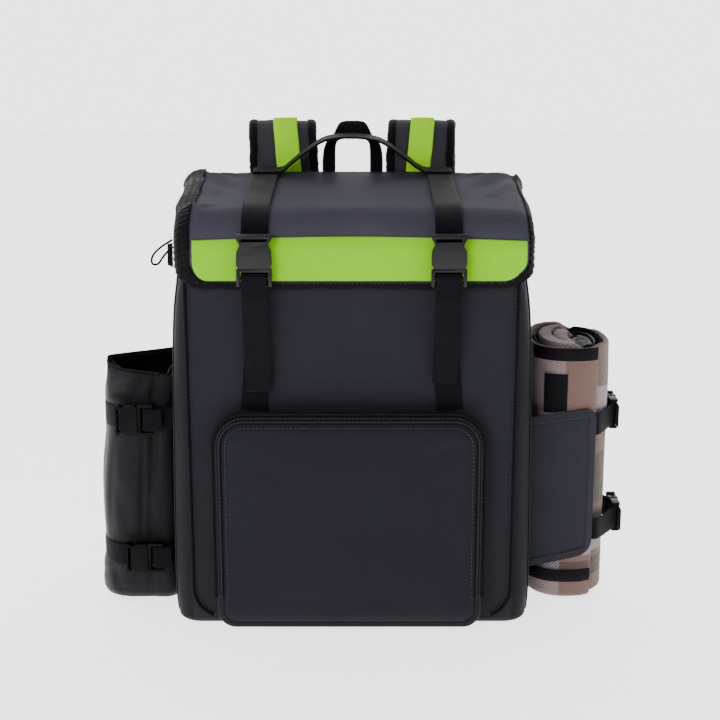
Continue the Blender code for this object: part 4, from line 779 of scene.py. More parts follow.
def lidPuff(x, s):
    # the cloth swells a little between the straps and pulls up in creases towards its rear corners
    share = np.clip(s / lidL, 0, 1)
    table = [(a * lidHalfW, b * lidL, c * lidHalfW, d * lidL, w, h) for a, b, c, d, w, h in lidCreases]
    strapGap = np.clip(np.abs(np.abs(x) - strapX) / 0.030 - 0.45, 0, 1)
    swell = 0.0016 * np.sin(np.clip(share / 0.72, 0, 1) * math.pi) ** 0.8 * (0.6 + 0.4 * uneven(x, s, 21, 20))
    return (creases(x, s, table) * lid["creaseDepth"] + swell) * strapGap * np.clip(share / 0.03, 0.2, 1)


def lidHalfAt(s, inset):
    half, radius = lidHalfW - inset, lid["corner"] - inset
    left = lidL - inset - s
    drawn = radius - np.sqrt(np.clip(radius ** 2 - (radius - left) ** 2, 0, None))
    return half - np.where(left < radius, drawn, 0)


def lidGrid(inset, start, end, rows, cols, crowd=0.35):
    s = np.linspace(0, 1, rows)
    s = start + (end - start) * np.where(s > 1 - crowd, 1 - crowd + crowd * np.sin((s - 1 + crowd) / crowd
                                                                                 * math.pi / 2), s)
    u = np.linspace(-1, 1, cols)
    u = np.sign(u) * (1 - (1 - np.abs(u)) ** 1.25)
    return lidHalfAt(s, inset)[:, None] * u[None, :], np.broadcast_to(s[:, None], (rows, cols))


strapX = centreOf("lid_strap_right")[0]


def lidCloth():
    inset = lid["binding"] * 0.6
    x, s = lidGrid(inset, 0.0, lidL - inset, 100, 130)
    points = onLid(x, s, lid["thickness"] / 2 + lidPuff(x, s))
    piece = surface("lidCloth", points, np.stack([x, -s], -1), facing=(0, -0.5, 1))
    return keep(solidify(piece, lid["thickness"]), "lidCloth", "lid_flap")


# The lid's outline as places (x, s), from the rear left round both lower corners to the rear right
def lidEdge(inset, count=420):
    half, radius, end = lidHalfW - inset, lid["corner"] - inset, lidL - inset
    turn = np.linspace(0, math.pi / 2, 24)
    corner = np.stack([-(half - radius) - radius * np.cos(turn), end - radius + radius * np.sin(turn)], 1)
    left = np.concatenate([[[-half, 0.0]], corner])
    line = np.concatenate([left, left[::-1] * (-1, 1)])
    return evenly(line, count)


# The folded tape round the lid's edge: a flat loop that holds the cloth, a little uneven, thicker at its ends
def lidBinding():
    count = 420
    outer, inner = lidEdge(0.0, count), lidEdge(lid["binding"], count)
    share = np.linspace(0, 1, count)
    half = lid["bindingThick"] / 2
    profile = bandProfile(1.0, 2.0)  # across the tape from 0.5 outside to -0.5 inside, and out
    across, out = np.clip(profile[:, 0] + 0.5, 0, 1), profile[:, 1]
    waver = 0.0009 * uneven(share * 8, share * 0, 31, 9) + 0.0003 * np.sin(share * 900)
    ends = np.exp(-(np.minimum(share, 1 - share) / 0.02) ** 2)
    onSide = np.clip((0.42 - np.minimum(share, 1 - share)) / 0.10, 0, 1)
    grow = 1 + 0.35 * ends + 0.10 * uneven(share * 9, share * 0, 33, 11) + (lid["sideTape"] - 1) * onSide
    loose = np.sin(share * 1310) * np.sin(share * 523 + 1) + uneven(share, share * 0, 35, 170)
    fray = lid["fray"] * onSide * loose
    grow = grow + fray / half
    inner = inner + np.stack([(share < 0.5) * lid["widerLeft"] * onSide
                              * (1 + 0.35 * uneven(share, share * 0, 37, 60)), share * 0], 1)
    places = inner[:, None] + (outer - inner)[:, None] * across[None, :, None]
    stretch = (outer - inner) / np.linalg.norm(outer - inner, axis=1, keepdims=True)
    places = places + stretch[:, None] * (waver[:, None] * across[None, :])[..., None]
    # its outer face follows the swell of the cloth below
    follow = np.where(out > 0.2, 1, 0)[None, :] * np.clip(lidPuff(places[..., 0], places[..., 1]), 0, None)
    points = onLid(places[..., 0], places[..., 1],
                   out[None, :] * half * grow[:, None] + follow + lid["ear"] * ends[:, None])
    girth = lengths(np.concatenate([profile, profile[:1]])) * 0.004
    run = lengths(outer)
    uv = np.stack(np.broadcast_arrays(girth[None, :], run[:, None]), 2)
    piece = surface("lidBinding", points, uv, roundCols=True, caps=True)
    keep(piece, "bindingTape", "lid_binding")
    seam = lidEdge(lid["binding"] * 0.82, 500)[8:-8]
    line = onLid(seam[:, 0], seam[:, 1], half + 0.0002)
    deep = onLid(seam[:, 0], seam[:, 1], 0.0)
    stitches("lidBindingStitches", line, line - deep)


# The bright band on the lid's front, with pressed diagonal creases and a slight bow at its top edge
def limeBand():
    inset = lid["binding"] + lid["limeInset"] - 0.0012
    end = lidL - inset
    x, s = lidGrid(inset, end - lid["limeHeight"], end, 40, 150, 0.45)
    s = s - 0.0012 * (1 - np.clip((s - end + lid["limeHeight"]) / lid["limeHeight"], 0, 1)) * np.cos(x * 19)
    x = x + lid["limeLeft"] * np.clip(-x / lidHalfW, 0, 1) ** 4 / (1 - 2 * inset / lidHalfW)
    lidBase = lid["thickness"] / 2 + lidPuff(x, s)
    table = [(a * lidHalfW, lidL - b, c * lidHalfW, lidL - d, w, h) for a, b, c, d, w, h in (
        (-0.45, 0.046, -0.38, 0.010, 0.0018, 0.0006), (0.44, 0.046, 0.335, 0.010, 0.0020, 0.0006),
        (0.775, 0.046, 0.82, 0.010, 0.0020, 0.0006), (-0.62, 0.030, -0.40, 0.040, 0.006, 0.0003),
        (0.05, 0.014, 0.30, 0.024, 0.008, 0.0003), (-0.20, 0.040, 0.10, 0.034, 0.007, 0.0003))]
    away = lidBase + gap / 2 + lid["limeThick"] + creases(x, s, table) * 0.8
    points = onLid(x, s, away)
    piece = surface("limeBand", points, np.stack([x, -s], -1), facing=(0, -1, 0))
    keep(solidify(piece, lid["limeThick"]), "limeCloth", "lime_band")


lidCloth()
lidBinding()
limeBand()
print("lid made")

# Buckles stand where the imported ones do: joint height, lean, the webbing bar's place below it
buckle = {
    "lean": math.radians(3.0), "barIn": 0.0085, "barDeep": 0.0045, "barR": 0.0016, "jointZ": 0.3400,
    "plugL": 0.0158, "socketL": 0.0300, "endBar": 0.0022, "sidePlugL": 0.0146, "sideSocketL": 0.0205,
}
webbingT = lid["webbingThick"]
webbingW = np.diff(np.array(boxOf("lid_strap_right"))[:, 0])[0]
bandFace = lid["thickness"] / 2 + gap + lid["limeThick"] + gap + lid["strapLift"]
loopR = buckle["barR"] + gap + webbingT / 2


# A packed hard part with its loose triangles merged, its flat faces made whole and its edges rounded
def rounded(node, name, look, width=0.0005, segments=3):
    mesh = nodes[node].data.copy()
    mesh.name = name
    shape = bmesh.new()
    shape.from_mesh(mesh)
    bmesh.ops.remove_doubles(shape, verts=shape.verts, dist=0.000005)
    bmesh.ops.dissolve_limit(shape, angle_limit=math.radians(2), verts=shape.verts, edges=shape.edges)
    bmesh.ops.recalc_face_normals(shape, faces=shape.faces)
    shape.to_mesh(mesh)
    shape.free()
    piece = linked(name, mesh)
    bevel = piece.modifiers.new("edges", "BEVEL")
    bevel.width, bevel.segments, bevel.use_clamp_overlap = width, segments, True
    bevel.limit_method, bevel.angle_limit = "ANGLE", math.radians(30)
    bevel.harden_normals = False
    return keep(piece, look, node)


def buckles():
    for node in sorted(nodes):
        if "_buckle_" in node or node.startswith("ladder_lock"):
            words = node.split("_")
            # buckles off the front get the darker copy of the plastic, painted shade
            rounded(node, words[0] + "".join(word.title() for word in words[1:]),
                    "bucklePlastic" if words[0] == "front" else "sidePlastic")


# Webbing round a plug's bar in the buckle's own side view (out, along): behind the end bar, then in front
def barLoop(plugL):
    deep, beyond = buckle["barDeep"], buckle["endBar"] / 2
    turn = np.linspace(0, math.pi, 13)
    behind = [(loopR - deep, -plugL - beyond), (loopR - deep, -plugL + beyond)]
    bend = np.stack([-deep + loopR * np.cos(turn), -buckle["barIn"] + loopR * np.sin(turn)], 1)
    ahead = [(-deep - loopR, -plugL + beyond), (-deep - loopR, -plugL - beyond)]
    return np.concatenate([behind, bend, ahead])


def lidStraps():
    s = np.linspace(0, lidL - lid["binding"], 150)
    for label in ("Left", "Right"):
        node = "lid_strap_" + label.lower()
        x = centreOf(node)[0]
        line = onLid(x, s, bandFace + webbingT / 2)
        webbing("lidStrap" + label, line, (1, 0, 0), webbingW, webbingT, stands=node)
        up = line - onLid(x, s)
        # three rows of stitching hold the strap just in front of the handle's tab
        tabFront = boxOf("carry_handle")[0][1]
        row = int(np.argmin(np.abs(line[:, 1] - tabFront + 0.006)))
        for k in range(3):
            spot = line[row + 4 * k]
            across = np.linspace(-0.44, 0.44, 12)[:, None] * np.array([webbingW, 0, 0]) + spot
            stitches(f"lidStrap{label}Stitches{k}", across + unit(up[row]) * (webbingT / 2 + 0.0001), up[row])


# Webbing from the pocket's seam up behind each plug, round its bar and down again as a free end
def frontStraps():
    for label in ("Left", "Right"):
        node = "front_strap_" + label.lower()
        x = centreOf(node)[0]
        socket = boxOf("front_buckle_" + label.lower() + "_socket")
        joint = np.array([socket[1][1] - math.sin(buckle["lean"]) * buckle["socketL"], buckle["jointZ"]])
        turn = buckle["lean"]
        loop = barLoop(buckle["plugL"])
        loop = np.stack([joint[0] + loop[:, 0] * math.cos(turn) + loop[:, 1] * math.sin(turn),
                         joint[1] - loop[:, 0] * math.sin(turn) + loop[:, 1] * math.cos(turn)], 1)
        seamZ, tailZ = boxOf(node)[0][2], tailEnds[label]
        middleZ = (seamZ + loop[0, 1]) / 2
        under = [(-halfDepthAt(seamZ) - gap - webbingT / 2, seamZ),
                 (-halfDepthAt(middleZ) - 3 * gap - webbingT / 2, middleZ),
                 (loop[0, 0] + gap, loop[0, 1] - webbingW / 2)]
        tailY = -halfDepthAt(tailZ) - tailOff
        tail = [(loop[-1, 0] - gap, loop[-1, 1] - webbingW * 0.6),
                ((loop[-1, 0] + tailY) / 2 - 0.002, (tailZ + loop[-1, 1]) / 2), (tailY, tailZ)]
        line = smoothLine(np.concatenate([under, loop, tail]), 260)
        shift = tailShift[label] * np.clip(np.linspace(-1.4, 1, 260), 0, 1) ** 1.3
        lower = -tailShift[label] * 1.5 * np.clip(np.linspace(1, -4.5, 260), 0, 1)
        line = np.stack([x + shift + lower, line[:, 0], line[:, 1]], 1)
        webbing("frontStrap" + label, line, (1, 0, 0), webbingW - 2 * gap, webbingT, stands=node)


tailEnds = {"Left": 0.2280, "Right": 0.2355}
tailOff = 0.0065  # how far the free ends hang off the body
tailShift = {"Left": 0.0022, "Right": -0.0022}  # the free ends swing this far off the strap below
buckles()
lidStraps()
frontStraps()
print("buckles and straps made")

# Piping along the front panel's sides, the zips behind the corners, and the slider with its two pulls
front = {
    "panelHalf": 0.1475, "panelCorner": 0.030, "pipingR": 0.0017, "pipingDown": 0.049, "pocketHalf": 0.124,
    "zipBehind": 0.0245, "zipWidth": 0.009, "zipThick": 0.001, "coilPitch": 0.0012, "coilR": 0.0011,
}


# A point on the body's front, which turns round the upright corners and the base edge
def onBodyFront(x, z, off):
    x, z = np.broadcast_arrays(np.asarray(x, float), np.asarray(z, float))
    edge = body["baseEdge"]
    inset = np.where(z < edge, edge - np.sqrt(np.clip(edge ** 2 - (edge - z) ** 2, 0, None)), 0)
    halfW, halfD, r = halfWidthAt(z) - inset, halfDepthAt(z) - inset, body["frontCorner"]
    past = np.arcsin(np.clip((np.abs(x) - halfW + r) / r, 0, 1))
    nx, ny = np.sin(past) * np.sign(x), -np.cos(past)
    return np.stack([np.where(past > 0, np.sign(x) * (halfW - r) + nx * (r + off), x),
                     -halfD + r + ny * (r + off), z - off * np.clip(1 - z / edge, 0, 1) * 0.5], -1)


# A coiled zip along a line: a small tube whose radius swells at every turn, between two stitched tapes
def zipCoil(name, line, across, pitch=front["coilPitch"], radius=front["coilR"]):
    run = lengths(line)
    line = evenly(line, int(run[-1] / pitch * 4))
    run = lengths(line)
    profile = roundProfile(radius, 8) * (1.0, 0.75)
    swell = 0.82 + 0.18 * np.cos(run * 2 * math.pi / pitch)
    return keep(carried(name, line, across, profile, swell), "zipCoil")


def frontTrim():
    top, low = bodyTop - front["pipingDown"], body["baseEdge"]
    half, r = front["panelHalf"], front["panelCorner"]
    for label, side in (("Left", -1), ("Right", 1)):
        z = np.linspace(top, low + r, 60)
        turn = np.linspace(0, math.pi / 2, 20)[1:]
        x = np.concatenate([np.full(60, half), half - r + r * np.cos(turn)])
        z = np.concatenate([z, low + r - r * np.sin(turn)])
        ok = x > front["pocketHalf"] + 0.0034
        path = evenly(onBodyFront(side * x[ok], z[ok], front["pipingR"] + gap), 260)
        pipe("frontPiping" + label, path, front["pipingR"], "bindingTape", "front_piping_" + label.lower())
        stitches("panelStitches" + label, path - (side * 0.0030, -0.0008, 0), (0, -1, 0))
        z = np.linspace(low, top + 0.006, 90)
        y = -halfDepthAt(z) + front["zipBehind"]
        x = side * (halfWidthAt(z) + gap + front["zipThick"] / 2)
        line = np.stack([x, y, z], 1)
        webbing("mainZip" + label, line, (0, 1, 0), front["zipWidth"], front["zipThick"], "zipTape",
                "main_zip_" + label.lower(), rough=0.0001)
        zipCoil("mainZipCoil" + label, line + (side * front["zipThick"] * 0.7, 0, 0), (0, 1, 0))
        for k in (-1, 1):
            stitches(f"mainZipStitches{label}{k}", line + (side * 0.0006, k * 0.0036, 0), (side, 0, 0))


def zipPulls():
    rounded("zip_slider", "zipSlider", "zipCoil", 0.0008, 4)
    rounded("zip_pull_tab", "zipPullTab", "strapWebbing", 0.0005, 3)
    # the cord's loop hangs from the slider's outer face, off its middle
    x, (_, y, z) = boxOf("zip_slider")[0][0] - gap, centreOf("zip_slider")
    root = np.array([x - 0.001, y + 0.38 * 0.008, z + gap])
    reach, swell = np.array([-0.019, 0, -0.021]), np.array([-0.0024, 0, 0.0034])
    route = ((0.0, 0.15), (0.5, 1.0), (0.85, 1.0), (1.0, 0.0), (0.85, -1.0), (0.5, -0.8), (0.12, -0.9))
    line = smoothLine(np.array([root + reach * along + swell * off for along, off in route]), 160)
    twist = 1 + 0.07 * np.sin(lengths(line) * 2 * math.pi / 0.0021)
    keep(carried("zipPullCord", line, (0, 1, 0), roundProfile(0.001, 10), twist), "strapWebbing",
         "zip_pull_cord")
    return line


frontTrim()
pullLine = zipPulls()
print("front trim made")

# Front pocket: rounded outline, a zip strip inside it and a softly puffed panel
pocket = {
    "widthShare": 0.978, "shift": -0.0025,
    "corner": 0.028, "edge": 0.0065, "round": 0.003, "step": 0.0012, "puff": 0.006, "puffReach": 0.070,
    "depth": 0.016, "wall": 0.0016, "pipingR": 0.0017, "zipWidth": 0.0033, "trimUp": 0.030, "zipThick": 0.0010,
    "counts": (48, 11, 41, 15),  # points along the base, a lower corner, a side and an upper corner
}
pocketLow, pocketHigh = boxOf("front_pocket")
pocketBackY = pocketHigh[1]
pocketFrontY = pocketBackY - pocket["depth"]
pocketHalf = pocketHigh[0]


# The pocket as a whole sits a little to the left and is a little narrower than its solid
def placed(points):
    points = np.array(points)
    points[..., 0] = points[..., 0] * pocket["widthShare"] + pocket["shift"]
    return points


# Rounded outline in (x, z), the same number of points at every inset, from the base's middle to +x
def pocketOutline(inset):
    half, low, high = pocketHalf - inset, pocketLow[2] + inset, pocketHigh[2] - inset
    upper = max(pocket["corner"] - inset, 0.006)
    lower = max(upper * 0.6, 0.006)
    base, lowCorner, side, highCorner = pocket["counts"]

    def t(count):
        return np.linspace(0, 1, count, endpoint=False)

    a, b = t(lowCorner) * math.pi / 2, t(highCorner) * math.pi / 2
    right = np.concatenate([
        np.stack([(half - lower) * t(base), np.full(base, low)], 1),
        np.stack([half - lower + lower * np.sin(a), low + lower - lower * np.cos(a)], 1),
        np.stack([np.full(side, half), low + lower + (high - upper - low - lower) * t(side)], 1),
        np.stack([half - upper + upper * np.cos(b), high - upper + upper * np.sin(b)], 1),
        np.stack([(half - upper) * (1 - t(base)), np.full(base, high)], 1),
    ])
    return np.concatenate([right, [[0, high]], right[1:][::-1] * (-1, 1)])


pocketCreases = (
    (-0.105, 0.175, -0.060, 0.150, 0.009, 0.0010), (0.100, 0.180, 0.055, 0.158, 0.009, 0.0010),
    (-0.108, 0.040, -0.080, 0.120, 0.012, 0.0012), (0.110, 0.030, 0.090, 0.110, 0.012, 0.0012),
    (-0.050, 0.020, 0.045, 0.032, 0.014, 0.0010), (-0.020, 0.110, 0.060, 0.098, 0.020, 0.0008),
)


# How far the pocket's panel has swollen at a share of the way in from its edge
def pocketPuff(share):
    return pocket["puff"] * float(tableCurve(share, (0.0, 0.14, 0.50, 1.0), (0.0, 0.45, 0.85, 1.0)))


# Rings (inset, depth) from the wall forward over the rounded edge, a step at the zip, then the puffed panel
def frontPocket():
    edge, step = pocket["edge"], pocket["step"]
    rings = [(0.0, pocket["depth"] - 0.0002), (0.0, pocket["depth"] * 0.6), (0.0, pocket["round"])]
    rings += [(pocket["round"] * a, pocket["round"] * b) for a, b in (
        (0.15, 0.55), (0.30, 0.30), (0.55, 0.17), (0.83, 0.07))]
    rings += [(0.0045, 0.0), (edge - 0.0002, 0.0), (edge, 0.0003), (edge + 0.0003, -0.0006),
              (edge + 0.0008, -0.0010), (edge + step, -step)]
    flatRings = len(rings)
    rings += [(edge + step + pocket["puffReach"] * share, -step - pocketPuff(share))
              for share in np.linspace(0.03, 0.62, 22)]
    loops = []
    for inset, back in rings:
        outline = pocketOutline(inset)
        loops.append(np.stack([outline[:, 0], np.full(len(outline), pocketFrontY + back), outline[:, 1]], 1))
    last = loops[-1]
    centre = last.mean(0)
    for share in np.linspace(0, 1, 26)[1:]:
        ring = last + (centre - last) * share
        ring[:, 1] = pocketFrontY - step - pocketPuff(0.62 + 0.38 * share)
        loops.append(ring)
    points = np.array(loops)
    # soft dents, none where the trim lies
    share = np.clip((np.arange(len(points)) - flatRings - 1) / 10, 0, 1)[:, None]
    x, z = points[..., 0], points[..., 2]
    points[..., 1] += share * (creases(x, z, pocketCreases) + 0.0013 * (0.5 + 0.5 * uneven(x, z, 14, 34)))
    piece = surface("frontPocket", placed(points), np.stack([x, z], -1), roundCols=True, merge=0.00002)
    keep(solidify(piece, pocket["wall"]), "pocketCloth", "front_pocket")


def pocketTrim():
    low = pocketLow[2] + pocket["trimUp"]
    high = pocketHigh[2]

    def arch(inset, count):
        radius, half = pocket["corner"] - inset, pocketHalf - inset
        turn = np.linspace(0, math.pi / 2, 20)
        right = np.concatenate([[[half, low]], np.stack([half - radius + radius * np.cos(turn),
                                                         high - inset - radius + radius * np.sin(turn)], 1)])
        return evenly(np.concatenate([right, right[::-1] * (-1, 1)]), count)

    def at(line, y):
        return placed(np.stack([line[:, 0], np.full(len(line), y), line[:, 1]], 1))

    r = pocket["pipingR"]
    pipe("pocketPiping", at(arch(-r - gap, 420), pocketFrontY + r), r, "bindingTape", "pocket_piping")
    zipIn = pocket["edge"] - gap - pocket["zipWidth"] / 2
    y = pocketFrontY - gap - pocket["zipThick"] / 2
    tape = at(arch(zipIn, 300), y)
    webbing("pocketZip", tape, np.cross(unit(np.gradient(tape, axis=0)), (0, 1, 0)), pocket["zipWidth"],
            pocket["zipThick"], "zipTape", "pocket_zip", rough=0.0001)
    zipCoil("pocketZipCoil", at(arch(zipIn, 300), y - 0.0005), (0, 1, 0), 0.0010, 0.0009)
    stitches("pocketSeamOuter", at(arch(0.0018, 400), pocketFrontY - 0.0002), (0, -1, 0))
    inner = at(arch(pocket["edge"] + 0.0036, 400), pocketFrontY - pocket["step"] - 0.0012)
    stitches("pocketSeamInner", inner, (0, -1, 0))


frontPocket()
pocketTrim()
print("pocket made")

handle = {"span": 0.128, "rise": 0.0340, "thick": 0.0022, "y": 0.074, "tab": 0.034, "stitched": (0.072, 0.095),
          "arch": ((0.0, 1.0), (0.26, 0.96), (0.48, 0.84), (0.80, 0.42), (1.0, 0.12), (1.14, 0.01))}


# Webbing from one lid strap to the other: flat tabs with boxes of stitches, arched between them
def carryHandle():
    half = handle["span"] / 2
    rough = onLid(strapX, np.linspace(0, lidFlatL, 400), bandFace + webbingT + gap + handle["thick"] / 2)
    base = rough[int(np.argmin(np.abs(rough[:, 1] - handle["y"]))), 2]
    right = [(half * a, handle["y"], base + handle["rise"] * b) for a, b in handle["arch"]]
    right.append((half + handle["tab"], handle["y"], base - gap / 2))
    points = np.array([(-x, y, z) for x, y, z in right[:0:-1]] + right)
    line = smoothLine(points, 240)
    line[:, 2] += 0.0008 * np.sin(np.linspace(0, 7, 240)) * (np.abs(line[:, 0]) < half)
    ahead = np.array([0, math.cos(lidSlope), math.sin(lidSlope)])
    up = np.array([0, -math.sin(lidSlope), math.cos(lidSlope)])
    webbing("carryHandle", line, ahead, webbingW, handle["thick"], stands="carry_handle", crown=0.0003)
    # each tab has a box of stitches with a cross in it, from the near corner to the far one
    for side in (-1, 1):
        near, far = [[np.array([side * x, handle["y"], base]) + ahead * v * webbingW
                      + up * (handle["thick"] / 2 + 0.0003) for v in (-0.4, 0.4)] for x in handle["stitched"]]
        for k, ends in enumerate(((near[0], near[1]), (far[0], far[1]), (near[0], far[1]), (near[1], far[0]),
                                  (near[0], far[0]), (near[1], far[1]))):
            stitches(f"handleStitches{k}{'L' if side < 0 else 'R'}", np.array(ends), up)


grab = {
    "outer": 0.0300, "inner": 0.0172, "rise": 0.054, "hole": 0.036, "foot": 0.030,
    # shares of the outer edge's half width and rise, then of the inner edge's
    "sections": ((1.00, 0.33, 1.00, 0.50), (0.90, 0.59, 0.98, 0.78), (0.66, 0.74, 0.90, 0.92),
                 (0.50, 0.91, 0.72, 0.98), (0.38, 0.98, 0.50, 1.00), (0.19, 1.00, 0.25, 1.00), (0.0, 1.0, 0.0, 1.0)),
}


# The grab loop: two legs under a trapezoid band, of folded webbing, standing behind the lid
def grabLoop():
    y = centreOf("grab_loop")[1]
    outer, inner, rise, hole, foot = (grab[key] for key in ("outer", "inner", "rise", "hole", "foot"))
    half = [((outer, bodyTop - foot * k), (inner, bodyTop - foot * k)) for k in (1.0, 0.2)]
    half += [((outer * a, bodyTop + rise * b), (inner * c, bodyTop + hole * d))
             for a, b, c, d in grab["sections"]]
    half = np.array(half)
    rows = np.concatenate([half, half[-2::-1] * (-1, 1)])
    edges = [smoothLine(rows[:, k], 220) for k in (0, 1)]
    inward = (0.46, 0.30, 0.10, -0.10, -0.30, -0.46)
    across = np.array([0.5, 0.5, *inward, -0.5, -0.5, *inward[::-1]])
    out = np.array([0.2, -0.2, -0.5, -0.5, -0.46, -0.46, -0.5, -0.5, -0.2, 0.2, *[0.5] * 6]) * 0.0032
    middle, reach = (edges[0] + edges[1]) / 2, edges[0] - edges[1]
    flat = middle[:, None] + reach[:, None] * across[None, :, None]
    points = np.stack([flat[..., 0], np.broadcast_to(y + out, flat.shape[:2]), flat[..., 1]], -1)
    uv = np.stack(np.broadcast_arrays(across[None, :] * 0.016, lengths(middle)[:, None]), 2)
    keep(surface("grabLoop", points, uv, roundCols=True, caps=True), "strapWebbing", "grab_loop")
    for side in (0.40, -0.40):
        line = middle + reach * side
        stitches(f"loopStitches{'Outer' if side > 0 else 'Inner'}",
                 np.stack([line[:, 0], np.full(220, y - 0.0017), line[:, 1]], 1)[6:-6], (0, -1, 0))


carryHandle()
grabLoop()
print("handles made")

# Back panel and padded shoulder straps
back = {"width": 0.262, "height": 0.272, "thick": 0.007, "low": 0.068, "corner": 0.030,
        "channels": 5, "channelDeep": 0.0022}
shoulder = {
    "x": 0.069, "splay": 0.006, "width": 0.069, "thick": 0.010, "limeWidth": 0.024, "webbing": 0.024,
    "reach": 0.076, "footX": 0.108,
    "route": ((0.895, 0.00), (0.975, 0.00), (1.065, 0.10), (1.118, 0.32), (1.105, 0.62), (1.020, 0.88),
              (0.880, 0.99), (0.680, 0.97), (0.460, 0.82), (0.270, 0.54)),
    "binding": 0.0105, "waver": 0.0016, "limeIn": (0.0062, 0.0030),
    "inward": (0.0025, 0.0038),  # how far each pad sits in towards the middle at its top
    "lockHeight": 0.026, "lockThick": 0.005, "footZ": 0.040, "slack": 0.004,
}


# A pad with sewn channels on the rear wall
def backPanel():
    near = boxOf("back_panel")[0][1]
    low, high, half = back["low"], back["low"] + back["height"], back["width"] / 2
    u = np.linspace(-1, 1, 64)
    v = np.linspace(0, 1, 64)
    z = low + (high - low) * (0.5 - 0.5 * np.cos(v * math.pi))
    r = back["corner"]
    left = np.minimum(z - low, high - z)
    cut = np.where(left < r, r - np.sqrt(np.clip(r ** 2 - (r - left) ** 2, 0, None)), 0)
    x = np.sin(u * math.pi / 2)[None, :] * (half - cut)[:, None]
    z2 = np.broadcast_to(z[:, None], x.shape)
    edge = np.minimum(half - cut[:, None] - np.abs(x), left[:, None])
    height = back["thick"] * (1 - (1 - np.clip(edge / 0.012, 0, 1)) ** 2.4)
    lines = np.abs(((x / half + 1) / 2 * back["channels"] + 0.5) % 1 - 0.5) * 2 * half / back["channels"]
    height = height - back["channelDeep"] * np.exp(-(lines / 0.004) ** 2) * np.clip(edge / 0.016, 0, 1)
    height = np.clip(height - 0.0004 * (0.5 + 0.5 * uneven(x, z2, 41, 60)), 0.0004, None)
    outer = np.stack([x, near + height, z2], -1)
    points = np.concatenate([outer, np.stack([x, np.full_like(x, near + 0.0001), z2], -1)[::-1]])
    uv = np.stack([points[..., 0], points[..., 2]], -1)
    keep(surface("backPanel", points, uv, roundRows=True, merge=0.00002), "padMesh", "back_panel")


